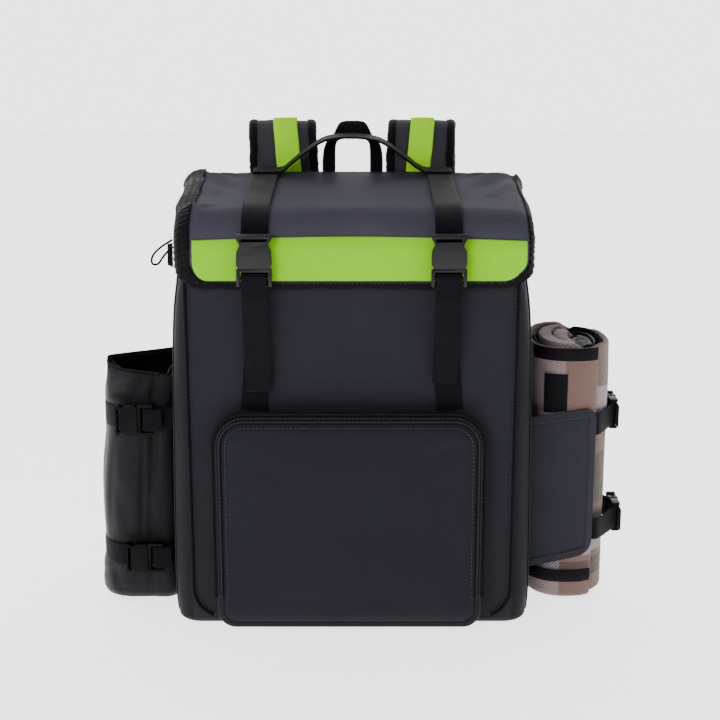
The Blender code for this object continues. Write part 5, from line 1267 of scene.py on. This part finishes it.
def shoulderStraps():
    up, away = np.array(shoulder["route"]).T
    off = 2 * gap + shoulder["thick"] / 2
    behind = halfDepthAt(np.minimum(up, 1) * bodyTop) + off + away * shoulder["reach"]
    route = np.stack([behind, up * bodyTop], 1)
    count = 150
    side2 = smoothLine(route, count)
    t = np.linspace(0, 1, count)
    middle = shoulder["x"] + shoulder["splay"] * np.minimum(t / 0.35, 1)
    spread = shoulder["footX"] - shoulder["x"] - shoulder["splay"]
    middle = middle + spread * np.clip((t - 0.4) / 0.6, 0, None) ** 1.5
    width = shoulder["width"] * (1 - 0.36 * np.clip((t - 0.78) / 0.22, 0, None) ** 1.3)
    ahead = np.gradient(side2, axis=0)
    out2 = unit(np.stack([-ahead[:, 1], ahead[:, 0]], 1))
    run = lengths(side2)
    sideways = np.array([1, 0, 0])
    for hand, (label, side) in enumerate((("Left", -1), ("Right", 1))):
        seed = 50 + 10 * hand
        middleX = middle - shoulder["inward"][hand] * np.clip(1 - t / 0.6, 0, 1)
        centre = np.stack([side * middleX, side2[:, 0], side2[:, 1]], 1)
        out = np.stack([np.zeros(count), out2[:, 0], out2[:, 1]], 1)
        # the pad: a closed lens with soft lengthwise folds, from edge to edge and back
        u = np.sin(np.linspace(-math.pi / 2, math.pi / 2, 40))
        swell = (1 - np.abs(u) ** 5) ** 0.6
        folds = 0.0011 * uneven(u[None, :] * 0.034, run[:, None] * 0.22, seed, 190) - 0.0004
        face = shoulder["thick"] / 2 * (0.42 + 0.50 * swell)[None, :] + folds * swell[None, :]
        face = np.minimum(face, shoulder["thick"] / 2)
        under = -shoulder["thick"] / 2 * (0.42 + 0.56 * swell)[None, :] * np.ones((count, 1))
        edgeShift = 0.0009 * uneven(run, run * 0, seed + 3, 120)
        reach = (width[:, None] / 2 - 0.0015 + edgeShift[:, None]) * u[None, :]
        top = centre[:, None] + sideways * reach[..., None] + out[:, None] * face[..., None]
        low = centre[:, None] + sideways * reach[:, ::-1, None] + out[:, None] * under[:, ::-1, None]
        points = np.concatenate([top, low], 1)
        uv = np.stack(np.broadcast_arrays(lengths(points[40])[None, :], run[:, None]), 2)
        keep(surface("shoulderPad" + label, points, uv, roundCols=True, caps=True), "strapPad",
             "shoulder_strap_" + label.lower())
        # tape folded over both edges, wavering and a little frayed
        for k in (-1, 1):
            waver = shoulder["waver"] * uneven(run, run * 0, seed + 7 + k, 150) * 0.5 \
                + 0.0004 * np.sin(run * 1700 + 3 * np.sin(run * 300))
            edge = centre + sideways * (k * (width / 2 - shoulder["binding"] / 2) + waver)[:, None]
            profile = bandProfile(shoulder["binding"], shoulder["thick"] * 0.99, 4)
            which = label + ("Outer" if k == side else "Inner")
            keep(carried("shoulderTape" + which, edge, sideways, profile,
                         1 + 0.06 * uneven(run, run * 0, seed + 17 + k, 300)), "bindingTape")
            seam = edge - sideways * (k * shoulder["binding"] * 0.34) + out * (shoulder["thick"] * 0.50)
            stitches("shoulderStitches" + which, seam, out)
        # the bright strip on the outer face; its lime is a brighter copy of the lid's, painted light
        v = np.linspace(-0.5, 0.5, 16)
        keepRows = (t > 0.035) & (t < 0.955)
        shift = shoulder["limeIn"][hand] \
            - 0.0035 * np.clip((t - 0.06) / 0.14, 0, 1) * np.clip((0.6 - t) / 0.35, 0, 1)
        bow = shoulder["thick"] / 2 + gap + lid["limeThick"] + 0.0006 * (1 - (2 * v) ** 2)[None, :] \
            + 0.0005 * uneven(v[None, :] * shoulder["limeWidth"], run[:, None], seed + 30, 200)
        waver = 0.0005 * uneven(run, run * 0, seed + 31, 220)
        reach = v[None, :] * shoulder["limeWidth"] + (waver - side * shift)[:, None]
        strip = centre[:, None] + sideways * reach[..., None] + out[:, None] * bow[..., None]
        uv = np.stack(np.broadcast_arrays(v[None, :] * shoulder["limeWidth"], run[keepRows][:, None]), 2)
        piece = surface("shoulderLime" + label, strip[keepRows], uv, facing=(0, 1, 0))
        keep(solidify(piece, lid["limeThick"]), "limeStrap", "shoulder_lime_" + label.lower())
        # webbing from the ladder lock down to the wall's foot
        x, y, z = centre[-1]
        top = z - gap - shoulder["thick"] / 2
        footY = halfDepthAt(shoulder["footZ"]) + 2 * gap + webbingT / 2
        lockY = y + shoulder["lockThick"] / 2 + 2 * gap + webbingT / 2
        h = shoulder["lockHeight"]
        line = smoothLine(np.array([
            (x, lockY, top - 0.45 * h), (x, lockY, top - 0.75 * h), (x, lockY, top - 1.05 * h),
            (x, (lockY + footY) / 2 + shoulder["slack"], (top - h + shoulder["footZ"]) / 2),
            (x, footY + shoulder["slack"], shoulder["footZ"] + 0.4 * shoulder["webbing"]),
            (x, footY + gap, shoulder["footZ"]),
            (x, footY, shoulder["footZ"] - 0.4 * shoulder["webbing"])]), 120)
        webbing("shoulderWebbing" + label, line, sideways, shoulder["webbing"], webbingT,
                stands="shoulder_webbing_" + label.lower())


backPanel()
shoulderStraps()
print("shoulder straps made")

# Bottle pouch of black satin on the body's left
pouch = {
    "width": 0.078, "depth": 0.104, "low": 0.006, "rim": 0.235, "dip": 0.008, "wall": 0.002, "corner": 0.032,
    "fold": 0.015, "baseEdge": 0.008, "hem": 0.013, "sew": 0.004,
    # how far the far wall leans towards the body at each height, and how the rim closes to a point out there
    "leanZ": (0.0, 0.03, 0.038, 0.053, 0.068, 0.10, 0.13, 0.174, 0.189, 0.204, 0.24),
    "lean": (-0.0040, -0.0022, -0.0018, 0.0034, 0.0010, 0.0015, 0.0028, 0.0060, 0.0088, 0.0068, 0.0068),
    "pinchFrom": 0.203, "pinch": 0.84, "sill": 0.010,
    "strapZ": (0.189, 0.053), "buckleX": (0.0348, 0.0295),
    "sections": ((0.0, 1.0), (0.008, 0.50), (0.030, 0.15), (0.070, 0.0), (0.30, 0.05), (0.52, 0.0), (0.72, 0.07),
                 (0.88, 0.03), (1.0, 0.0)),
    "counts": {"front": 40, "frontCorner": 18, "side": 30, "rearCorner": 8, "rear": 24}, "rows": 110,
}
pouchNear = -boxOf("side_pouch")[1][0]
sideWebbingW = np.diff(np.array(boxOf("pouch_strap_upper_front"))[:, 2])[0]
# Creases of the satin: along the wall from the body (share of its length), height, the same, width, depth
pouchCreases = (
    (0.030, 0.120, 0.026, 0.230, 0.0045, 0.0050), (0.045, 0.010, 0.050, 0.180, 0.0050, 0.0018),
    (0.085, 0.070, 0.075, 0.170, 0.0035, 0.0016),
    (0.30, 0.062, 0.27, 0.178, 0.007, 0.0014), (0.22, 0.075, 0.20, 0.160, 0.0045, 0.0010),
    (0.36, 0.100, 0.34, 0.180, 0.005, 0.0010), (0.13, 0.070, 0.18, 0.120, 0.006, 0.0012),
    (0.10, 0.066, 0.15, 0.074, 0.0035, 0.0014), (0.12, 0.205, 0.06, 0.228, 0.005, 0.0016),
    (0.26, 0.203, 0.33, 0.224, 0.006, 0.0012), (0.16, 0.012, 0.20, 0.040, 0.005, 0.0014),
    (0.33, 0.010, 0.31, 0.042, 0.006, 0.0012), (0.44, 0.08, 0.43, 0.17, 0.008, 0.0014),
    (0.57, 0.07, 0.58, 0.17, 0.008, 0.0014), (0.70, 0.06, 0.72, 0.20, 0.006, 0.0012),
    (0.90, 0.010, 0.91, 0.22, 0.0045, 0.0024),
)


# Points of the pouch moved so that its far wall leans and its rim closes to a point
def leaned(points):
    x, y, z = points[..., 0], points[..., 1], points[..., 2]
    far = np.clip((-x - pouchNear) / pouch["width"], 0, 1)
    closed = np.clip((z - pouch["pinchFrom"]) / (pouch["rim"] - pouch["pinchFrom"]), 0, 1)
    shut = pouch["pinch"] * far ** 0.7 * closed ** 2 * (3 - 2 * closed)
    return np.stack([x + far * tableCurve(z, pouch["leanZ"], pouch["lean"]), y * (1 - shut), z], -1)


# The pouch's outline as (x, y) and outward directions, its far corners rounder than those beside the body
def pouchOutline(inset):
    inset = np.asarray(inset, float)
    far, near = np.maximum(pouch["corner"] - inset, 0.006), np.maximum(pouch["fold"] - inset, 0.006)
    line, out = boxOutline(pouch["depth"] / 2 - inset, pouch["width"] / 2 - inset, far, near, pouch["counts"])
    line, out = (np.stack([p[..., 1], -p[..., 0]], -1) for p in (line, out))
    return line - (pouchNear + pouch["width"] / 2, 0), out


# The satin wall from its rim down, in over the base, with its creases pressed flat under the straps
def sidePouch():
    rows = pouch["rows"]
    share = 1 - np.linspace(0, 1, rows) ** 0.94
    table = np.array(pouch["sections"])
    inset = np.interp(share, table[:, 0], table[:, 1]) * pouch["baseEdge"]
    line, out = pouchOutline(inset)
    rim = pouch["rim"] - pouch["dip"] * np.clip(-line[..., 1], 0, None) / (pouch["depth"] / 2)
    z = pouch["low"] + share[:, None] * (rim - pouch["low"])
    around = lengths(np.concatenate([line[20], line[20][:1]]))
    around, girth = around[:-1], around[-1]
    # length along the wall, from where it leaves the body in front
    leaving = line[20] + (pouchNear + pouch["fold"], pouch["depth"] / 2)
    start = int(np.argmin(np.hypot(leaving[:, 0], leaving[:, 1])))
    run = np.broadcast_to((around - around[start]) % girth, (rows, len(around)))
    length = girth - pouch["depth"] + 2 * pouch["fold"]
    table = [(a * length, b, c * length, d, w, h) for a, b, c, d, w, h in pouchCreases]
    strap = sum(np.exp(-((z - level) / 0.0135) ** 4) for level in pouch["strapZ"])
    free = np.clip(1 - strap, 0, 1) * np.clip(run / 0.012, 0, 1) * (run < length)
    dent = creases(run, z, table) + 0.0011 * (0.5 + 0.5 * uneven(run, z, 71, 75))
    dent = dent - 0.0016 * np.sin(np.clip((z - 0.064) / 0.112, 0, 1) * math.pi)
    dent = dent - 0.0008 * np.exp(-((z - 0.214) / 0.010) ** 2)
    hem = np.exp(-((z - (rim - pouch["hem"])) / 0.0011) ** 2) * 0.0007
    dent = dent * free * np.clip((rim - z) / 0.01 + 0.25, 0, 1) + hem * (run < length)
    walls = np.concatenate([line - out * dent[..., None], z[..., None]], -1)
    base = walls[-1:]
    shrink = np.linspace(0, 1, 20)[1:, None, None]
    points = np.concatenate([walls, base + (base.mean(1, keepdims=True) - base) * shrink])
    upward = np.concatenate([z[:, start], z[-1, start] - 0.05 * shrink[:, 0, 0]])
    uv = np.stack(np.broadcast_arrays(around[None, :], upward[:, None]), 2)
    piece = surface("pouchCloth", leaned(points), uv, roundCols=True, merge=0.00004)
    keep(solidify(piece, pouch["wall"]), "pouchSatin", "side_pouch")
    # the rim's bound edge
    order = np.argsort(run[0])
    order = order[(run[0][order] > 0.002) & (run[0][order] < length - 0.002)]
    away = np.concatenate([out[0], np.zeros((out.shape[1], 1))], 1)[order]
    lip = leaned(walls[0][order]) - away * pouch["wall"] / 2 + (0, 0, 0.0002)
    pipe("pouchRimEdge", evenly(lip, 300), 0.00125, "bindingTape", sides=8)


# The lining: a thin skin inside the wall whose top shows over the dipped front rim; its silvery cloth is coloured
# near black, painted shade for the inside of the pouch
def pouchLining():
    rows = 30
    line, out = pouchOutline(np.full(rows, pouch["wall"] + 0.0007))
    rim = pouch["rim"] - pouch["dip"] * np.clip(-line[..., 1], 0, None) / (pouch["depth"] / 2) - 0.0012
    share = np.linspace(0, 1, rows)[:, None]
    low = pouch["rim"] - 0.050
    height = low + (rim - low) * share
    wrinkle = 0.0012 * (0.5 + 0.5 * uneven(line[..., 0] + line[..., 1], height, 81, 240))
    sill = pouch["sill"] * np.clip(-line[..., 1] / 0.03, 0, 1) * share ** 3
    sill = sill * (0.7 + 0.3 * uneven(line[..., 0], height, 83, 60))
    points = np.concatenate([line - out * (wrinkle + sill)[..., None], height[..., None]], -1)
    uv = np.stack(np.broadcast_arrays(lengths(line[5])[None, :], share * 0.05), 2)
    piece = surface("pouchLining", leaned(points), uv, roundCols=True)
    keep(solidify(piece, 0.0006), "liningCloth")


# Upright webbing along a line (x, y) at one height; lean may move its points
def uprightWebbing(name, line, z, stands, lean=np.asarray):
    line = lean(np.concatenate([line, np.full((len(line), 1), z)], 1))
    webbing(name, line, (0, 0, 1), sideWebbingW, webbingT, stands=stands)


# The short end beyond a loop, straight on
def tailOf(loop):
    return loop[-1] + unit(loop[-1] - loop[-2]) * 0.007


def pouchStraps():
    off = gap + webbingT / 2
    half, radius = pouch["depth"] / 2 + off, pouch["corner"] + off
    far = pouchNear + pouch["width"] + off
    turn = np.linspace(0, math.pi / 2, 20)
    for label, z, joint in zip(("upper", "lower"), pouch["strapZ"], pouch["buckleX"]):
        path = np.concatenate([
            [(pouchNear + joint + buckle["sideSocketL"] * 0.55, -half), (far - radius, -half)],
            np.stack([far - radius + radius * np.sin(turn), -half + radius - radius * np.cos(turn)], 1)[1:],
            np.stack([far - radius + radius * np.cos(turn), half - radius + radius * np.sin(turn)], 1),
            [(pouchNear + pouch["sew"], half)]])
        uprightWebbing("pouchStrap" + label.title() + "Round", evenly(path * (-1, 1), 220), z,
                       f"pouch_strap_{label}_round", leaned)
        # from the body to the plug, round its bar and back as a short end
        loop = barLoop(buckle["sidePlugL"])
        loop = np.stack([-(pouchNear + joint) - loop[:, 1], loop[:, 0] - half - webbingT / 2 - gap], 1)
        edge = np.array([-(pouchNear + 3 * gap), -half])
        path = np.concatenate([[edge, (edge + loop[0]) / 2], loop, [tailOf(loop)]])
        uprightWebbing("pouchStrap" + label.title() + "Front", smoothLine(path, 140), z,
                       f"pouch_strap_{label}_front")


sidePouch()
pouchLining()
pouchStraps()
print("bottle pouch made")

# Rolled fleece blanket with a coated black back, its bindings, the wing that holds it and two straps
roll = {
    "width": 0.080, "depth": 0.108, "low": 0.010, "top": 0.256, "layer": 0.0078, "pitch": 0.0092,
    "turns": 2.6, "square": 0.82, "drift": (0.38, -0.30), "lap": -0.165, "back": 0.0018,
    "coreDown": 0.004, "coreClear": 0.0025, "bandWidth": 0.012, "bandUp": 0.016, "bandThick": 0.0008,
    "hem": (-0.40, -0.168), "patch": (-0.345, -0.262), "patchTop": 0.2310, "softTo": 0.006,
    "strapZ": (0.182, 0.078), "buckleY": (0.0, -0.002), "buckleOff": (0.0, 0.006),
}
wing = {"thick": 0.002, "turns": (-0.345, -0.170), "top": (0.190, 0.200), "base": (0.041, 0.056),
        "corner": 0.012}
rollNear = boxOf("blanket_holder")[0][0] - gap / 2
rollMiddle = rollNear + roll["width"] / 2


# A point (x, y) of the roll at an angle in turns, inward from its outside; inner turns drift
def rollPoint(turn, inward):
    angle = 2 * math.pi * np.asarray(turn, float)
    inward = np.asarray(inward, float)
    c, s = np.cos(angle), np.sin(angle)
    x = (roll["width"] / 2 - inward) * np.abs(c) ** roll["square"] * np.sign(c)
    y = (roll["depth"] / 2 - inward) * np.abs(s) ** roll["square"] * np.sign(s)
    drift = np.maximum(inward, 0)
    return np.stack([rollMiddle + x + roll["drift"][0] * drift, y + roll["drift"][1] * drift], -1)


# How many turns deep the cloth lies: its first turn keeps to the outside and dives under the end at its close
def wound(turns):
    dive = np.clip((turns - 0.86) / 0.14, 0, 1)
    first = 0.12 * turns + 0.88 * dive ** 2 * (3 - 2 * dive)
    return np.where(turns < 1, first, np.where(turns < 2, 1 + (turns - 1) ** 1.6, turns))


# One layer of the roll between two depths, along the spiral; its section (height, depth) has round ends
def rollLayer(name, look, inside, outside, stands, seed, upDown=(0.0, 0.0)):
    turns = np.linspace(0, roll["turns"], 900)
    inward = roll["pitch"] * wound(turns) + (inside + outside) / 2
    middle = evenly(rollPoint(roll["lap"] - turns, inward), 320)
    thick = outside - inside
    low, top = roll["low"] + upDown[0], roll["top"] - upDown[1]
    heights = np.concatenate([np.linspace(low, low + 0.004, 5), np.linspace(low + 0.008, top - 0.024, 34),
                              np.linspace(top - 0.020, top - 0.005, 8), np.linspace(top - 0.004, top, 5)])
    r = thick / 2
    edge = np.minimum(heights - low, top - heights)
    round_ = np.where(edge < r * 1.6, np.sqrt(np.clip(1 - (1 - edge / (r * 1.6)) ** 2, 0, 1)), 1)
    run = lengths(middle)
    roll["run"] = float(run[-1])
    ahead = unit(np.gradient(middle, axis=0))
    out = np.stack([-ahead[:, 1], ahead[:, 0]], 1)
    waver = 0.0006 * uneven(run[:, None], heights[None, :], seed, 60) - 0.0006
    half = (r + waver) * round_[None, :]
    lift = 0.0022 * uneven(run, run * 0, seed + 1, 26) * np.clip(run / 0.1, 0.3, 1)
    z = heights[None, :] + lift[:, None] * np.clip((heights - 0.20) / 0.05, 0, 1)[None, :]
    # the inner turns are soft and swollen at the left; at the right the dark back stands out of them
    left = np.clip((rollMiddle + roll["softTo"] + 0.008 - middle[:, :1]) / 0.016, 0, 1)
    turned = np.clip((run[:, None] - 0.275) / 0.03, 0, 1)
    turned = turned + np.clip(1 - np.abs(run[:, None] - 0.155) / 0.05, 0, 1)
    inner = np.clip(turned, 0, 1) * np.clip((heights[None, :] - top + 0.02) / 0.02, 0, 1)
    rise = (0.005, -0.008) if look == "fleece" else (-0.008, 0.0005)
    z = z + inner * (left * rise[0] + (1 - left) * rise[1])
    swell = 1 + (1.9 if look == "fleece" else 0.0) * inner * left
    outerTurn = run[:, None] < 0.25
    outward = half * np.where(outerTurn, 1, swell)
    inward = r * round_ * swell
    z = np.minimum(z, roll["top"] + 0.0035)
    front = np.concatenate([middle[:, None] + out[:, None] * outward[..., None], z[..., None]], -1)
    rear = np.concatenate([middle[:, None] - out[:, None] * inward[..., None], z[..., None]], -1)
    points = np.concatenate([front, rear[:, ::-1]], 1)
    along = np.concatenate([heights, heights[::-1] + 0.31])
    uv = np.stack(np.broadcast_arrays(run[:, None] + seed * seedStep, along[None, :]), 2)
    return keep(surface(name, points, uv, roundCols=True, caps=True), look, stands)


def blanket():
    # inward depths: the fleece outside, its coated back inside
    fleeceEnd = roll["layer"] - roll["back"] - 0.0002
    rollLayer("blanketFleece", "fleece", 0.0, fleeceEnd, "blanket_roll", fleeceSeed)
    rollLayer("blanketBack", "pouchSatin", roll["layer"] - roll["back"], roll["layer"], (), 92, (0.0, 0.0008))
    inward = roll["pitch"] * (roll["turns"] - 1) + roll["layer"] + roll["coreClear"]
    last = roll["lap"] - roll["turns"]
    k = np.linspace(0, 1, 49)[:-1]
    loop = rollPoint(last - k, inward + roll["pitch"] * k)
    heights = np.linspace(roll["low"], roll["top"] - roll["coreDown"], 60)
    # how far each ring is drawn in to the middle, and its height
    drawn = np.linspace(0, 1, 8)[1:]
    rings = [(s, heights[0]) for s in drawn[::-1]] + [(0, h) for h in heights] \
        + [(s, heights[-1] + 0.0012 * math.sin(s * 9)) for s in drawn]
    points = np.array([np.concatenate([loop + (loop.mean(0) - loop) * s, np.full((len(loop), 1), h)], 1)
                       for s, h in rings])
    uv = np.stack(np.broadcast_arrays(lengths(loop)[None, :], np.linspace(0, 0.3, len(points))[:, None]), 2)
    # the core is coloured like the lining, near black: painted shade in the roll's middle
    keep(surface("blanketCore", points, uv, roundCols=True, merge=0.00002), "liningCloth", "blanket_core")


# Strips on the outer turn; rows go round, columns up
def rollStrip(name, look, lowOf, top, turns, stands, off, thick, rows=120, cols=24, bulge=0.0):
    t = np.linspace(turns[0], turns[1], rows)
    line = evenly(rollPoint(t, -off), rows)
    low = lowOf(line[:, 0])
    v = np.linspace(0, 1, cols)
    z = low[:, None] + (top - low)[:, None] * v[None, :]
    ahead = unit(np.gradient(line, axis=0))
    out = np.stack([ahead[:, 1], -ahead[:, 0]], 1)
    puff = bulge * np.sin(v * math.pi)[None, :] + 0.0002 * uneven(lengths(line)[:, None], z, 95, 200)
    flat = line[:, None] + out[:, None] * (thick / 2 + puff)[..., None]
    points = np.concatenate([flat, z[..., None]], -1)
    uv = np.stack(np.broadcast_arrays(lengths(line)[:, None], z), 2)
    piece = surface(name, points, uv, facing=(0, -1, 0))
    return keep(solidify(piece, thick), look, stands)


def wingEdge(x, heights):
    first = rollNear + gap / 2
    last = rollPoint(wing["turns"][1], -gap - wing["thick"] / 2)[0]
    return heights[0] + (heights[1] - heights[0]) * (x - first) / (last - first)


def blanketTrim():
    top, low = roll["top"] - roll["bandWidth"], roll["low"] + roll["bandUp"]
    off, thick = gap + roll["bandThick"] / 2, roll["bandThick"]
    rollStrip("blanketTapeTop", "bindingTape", lambda x: np.full_like(x, top), roll["top"], roll["hem"],
              "blanket_binding_top", off, thick, bulge=0.0005)
    rollStrip("blanketTapeBase", "bindingTape", lambda x: np.full_like(x, low), low + roll["bandWidth"],
              roll["hem"], "blanket_binding_base", off, thick, bulge=0.0005)
    rollStrip("blanketPatch", "bindingTape", lambda x: wingEdge(x, wing["top"]) + 2 * gap, roll["patchTop"],
              roll["patch"], "blanket_patch", off, thick, 40)


# The wing of cloth from the body's side over the front of the roll, hemmed along its edges
def blanketWing():
    first, last = wing["turns"]
    off = gap + wing["thick"] / 2
    line = rollPoint(np.linspace(first, last, 60), -off)
    # from the body it is drawn straight to the roll's foremost place
    foremost = int(np.argmin(line[:, 1]))
    line[:foremost, 1] += (line[foremost, 1] - line[:foremost, 1]) * 0.75
    line = smoothLine(np.concatenate([[[rollNear + gap / 2, line[0, 1]]], line[6:-6:9], line[-1:]]), 80)
    x = line[:, 0]
    low, high = wingEdge(x, wing["base"]), wingEdge(x, wing["top"])
    left, r = x[-1] - x, wing["corner"]
    cut = np.where(left < r, r - np.sqrt(np.clip(r ** 2 - (r - left) ** 2, 0, None)), 0)
    low, high = low + cut, high - cut
    v = 0.5 - 0.5 * np.cos(np.linspace(0, math.pi, 80))
    z = low[:, None] + (high - low)[:, None] * v[None, :]
    ahead = unit(np.gradient(line, axis=0))
    out = np.stack([ahead[:, 1], -ahead[:, 0]], 1)
    run = lengths(line)
    wing["reach"], wing["tall"] = float(run[-1]), float((high - low)[2:-20].mean())
    edge = np.minimum(np.minimum(z - low[:, None], high[:, None] - z), (run[-1] - run)[:, None])
    hem = 0.0005 * (1 - np.clip((edge - 0.0075) / 0.0008, 0, 1))
    hem = hem - 0.0006 * np.exp(-((edge - 0.008) / 0.0007) ** 2)
    strap = sum(np.exp(-((z - level) / 0.016) ** 4) for level in roll["strapZ"])
    soft = 0.0012 * uneven(run[:, None], z, 97, 58) * (1 - 0.6 * strap) * np.clip(edge / 0.02, 0.2, 1)
    away = wing["thick"] / 2 + np.maximum(soft, -0.0002) + hem + 0.0003
    points = np.concatenate([line[:, None] + out[:, None] * away[..., None], z[..., None]], -1)
    uv = np.stack(np.broadcast_arrays(run[:, None], z), 2)
    piece = surface("blanketWing", points, uv, facing=(0, -1, 0))
    keep(solidify(piece, wing["thick"]), "holderCloth", "blanket_holder")
    rowsIn = (run[-1] - run) > 0.010
    spot, outward = line + out * (wing["thick"] + 0.0013), np.concatenate([out, np.zeros((len(out), 1))], 1)
    for part, height in (("Top", high - 0.0068), ("Base", low + 0.0068)):
        stitches("wingStitches" + part, np.concatenate([spot, height[:, None]], 1)[rowsIn], outward[rowsIn])


def blanketStraps():
    off = gap + wing["thick"] / 2
    for label, z, along, stand in zip(("upper", "lower"), roll["strapZ"], roll["buckleY"], roll["buckleOff"]):
        backX = rollMiddle + roll["width"] / 2 + 2 * gap + webbingT + stand
        loop = barLoop(buckle["sidePlugL"])
        loop = np.stack([backX - loop[:, 0], along + loop[:, 1]], 1)
        edge = rollPoint(wing["turns"][1] + 0.0018, -off)
        bow = rollPoint(wing["turns"][1] + 0.035, -off - stand * 0.4)
        line = smoothLine(np.concatenate([[edge, bow], loop, [tailOf(loop)]]), 150)
        uprightWebbing("blanketStrap" + label.title() + "Front", line, z, f"blanket_strap_{label}_front")
        behind = backX - gap - webbingT / 2
        rear = [(behind, along + buckle["sideSocketL"] * share) for share in (0.5, 0.95)]
        rear = np.concatenate([rear, rollPoint(np.linspace(0.13, 0.33, 40), -off)])
        rear = np.concatenate([rear, [(rollNear + gap / 2, rear[-1, 1] + 2 * gap)]])
        uprightWebbing("blanketStrap" + label.title() + "Rear", evenly(rear, 150), z,
                       f"blanket_strap_{label}_rear")


blanket()
blanketTrim()
blanketWing()
blanketStraps()
print("blanket made")

lidL - lid["binding"] * 0.6
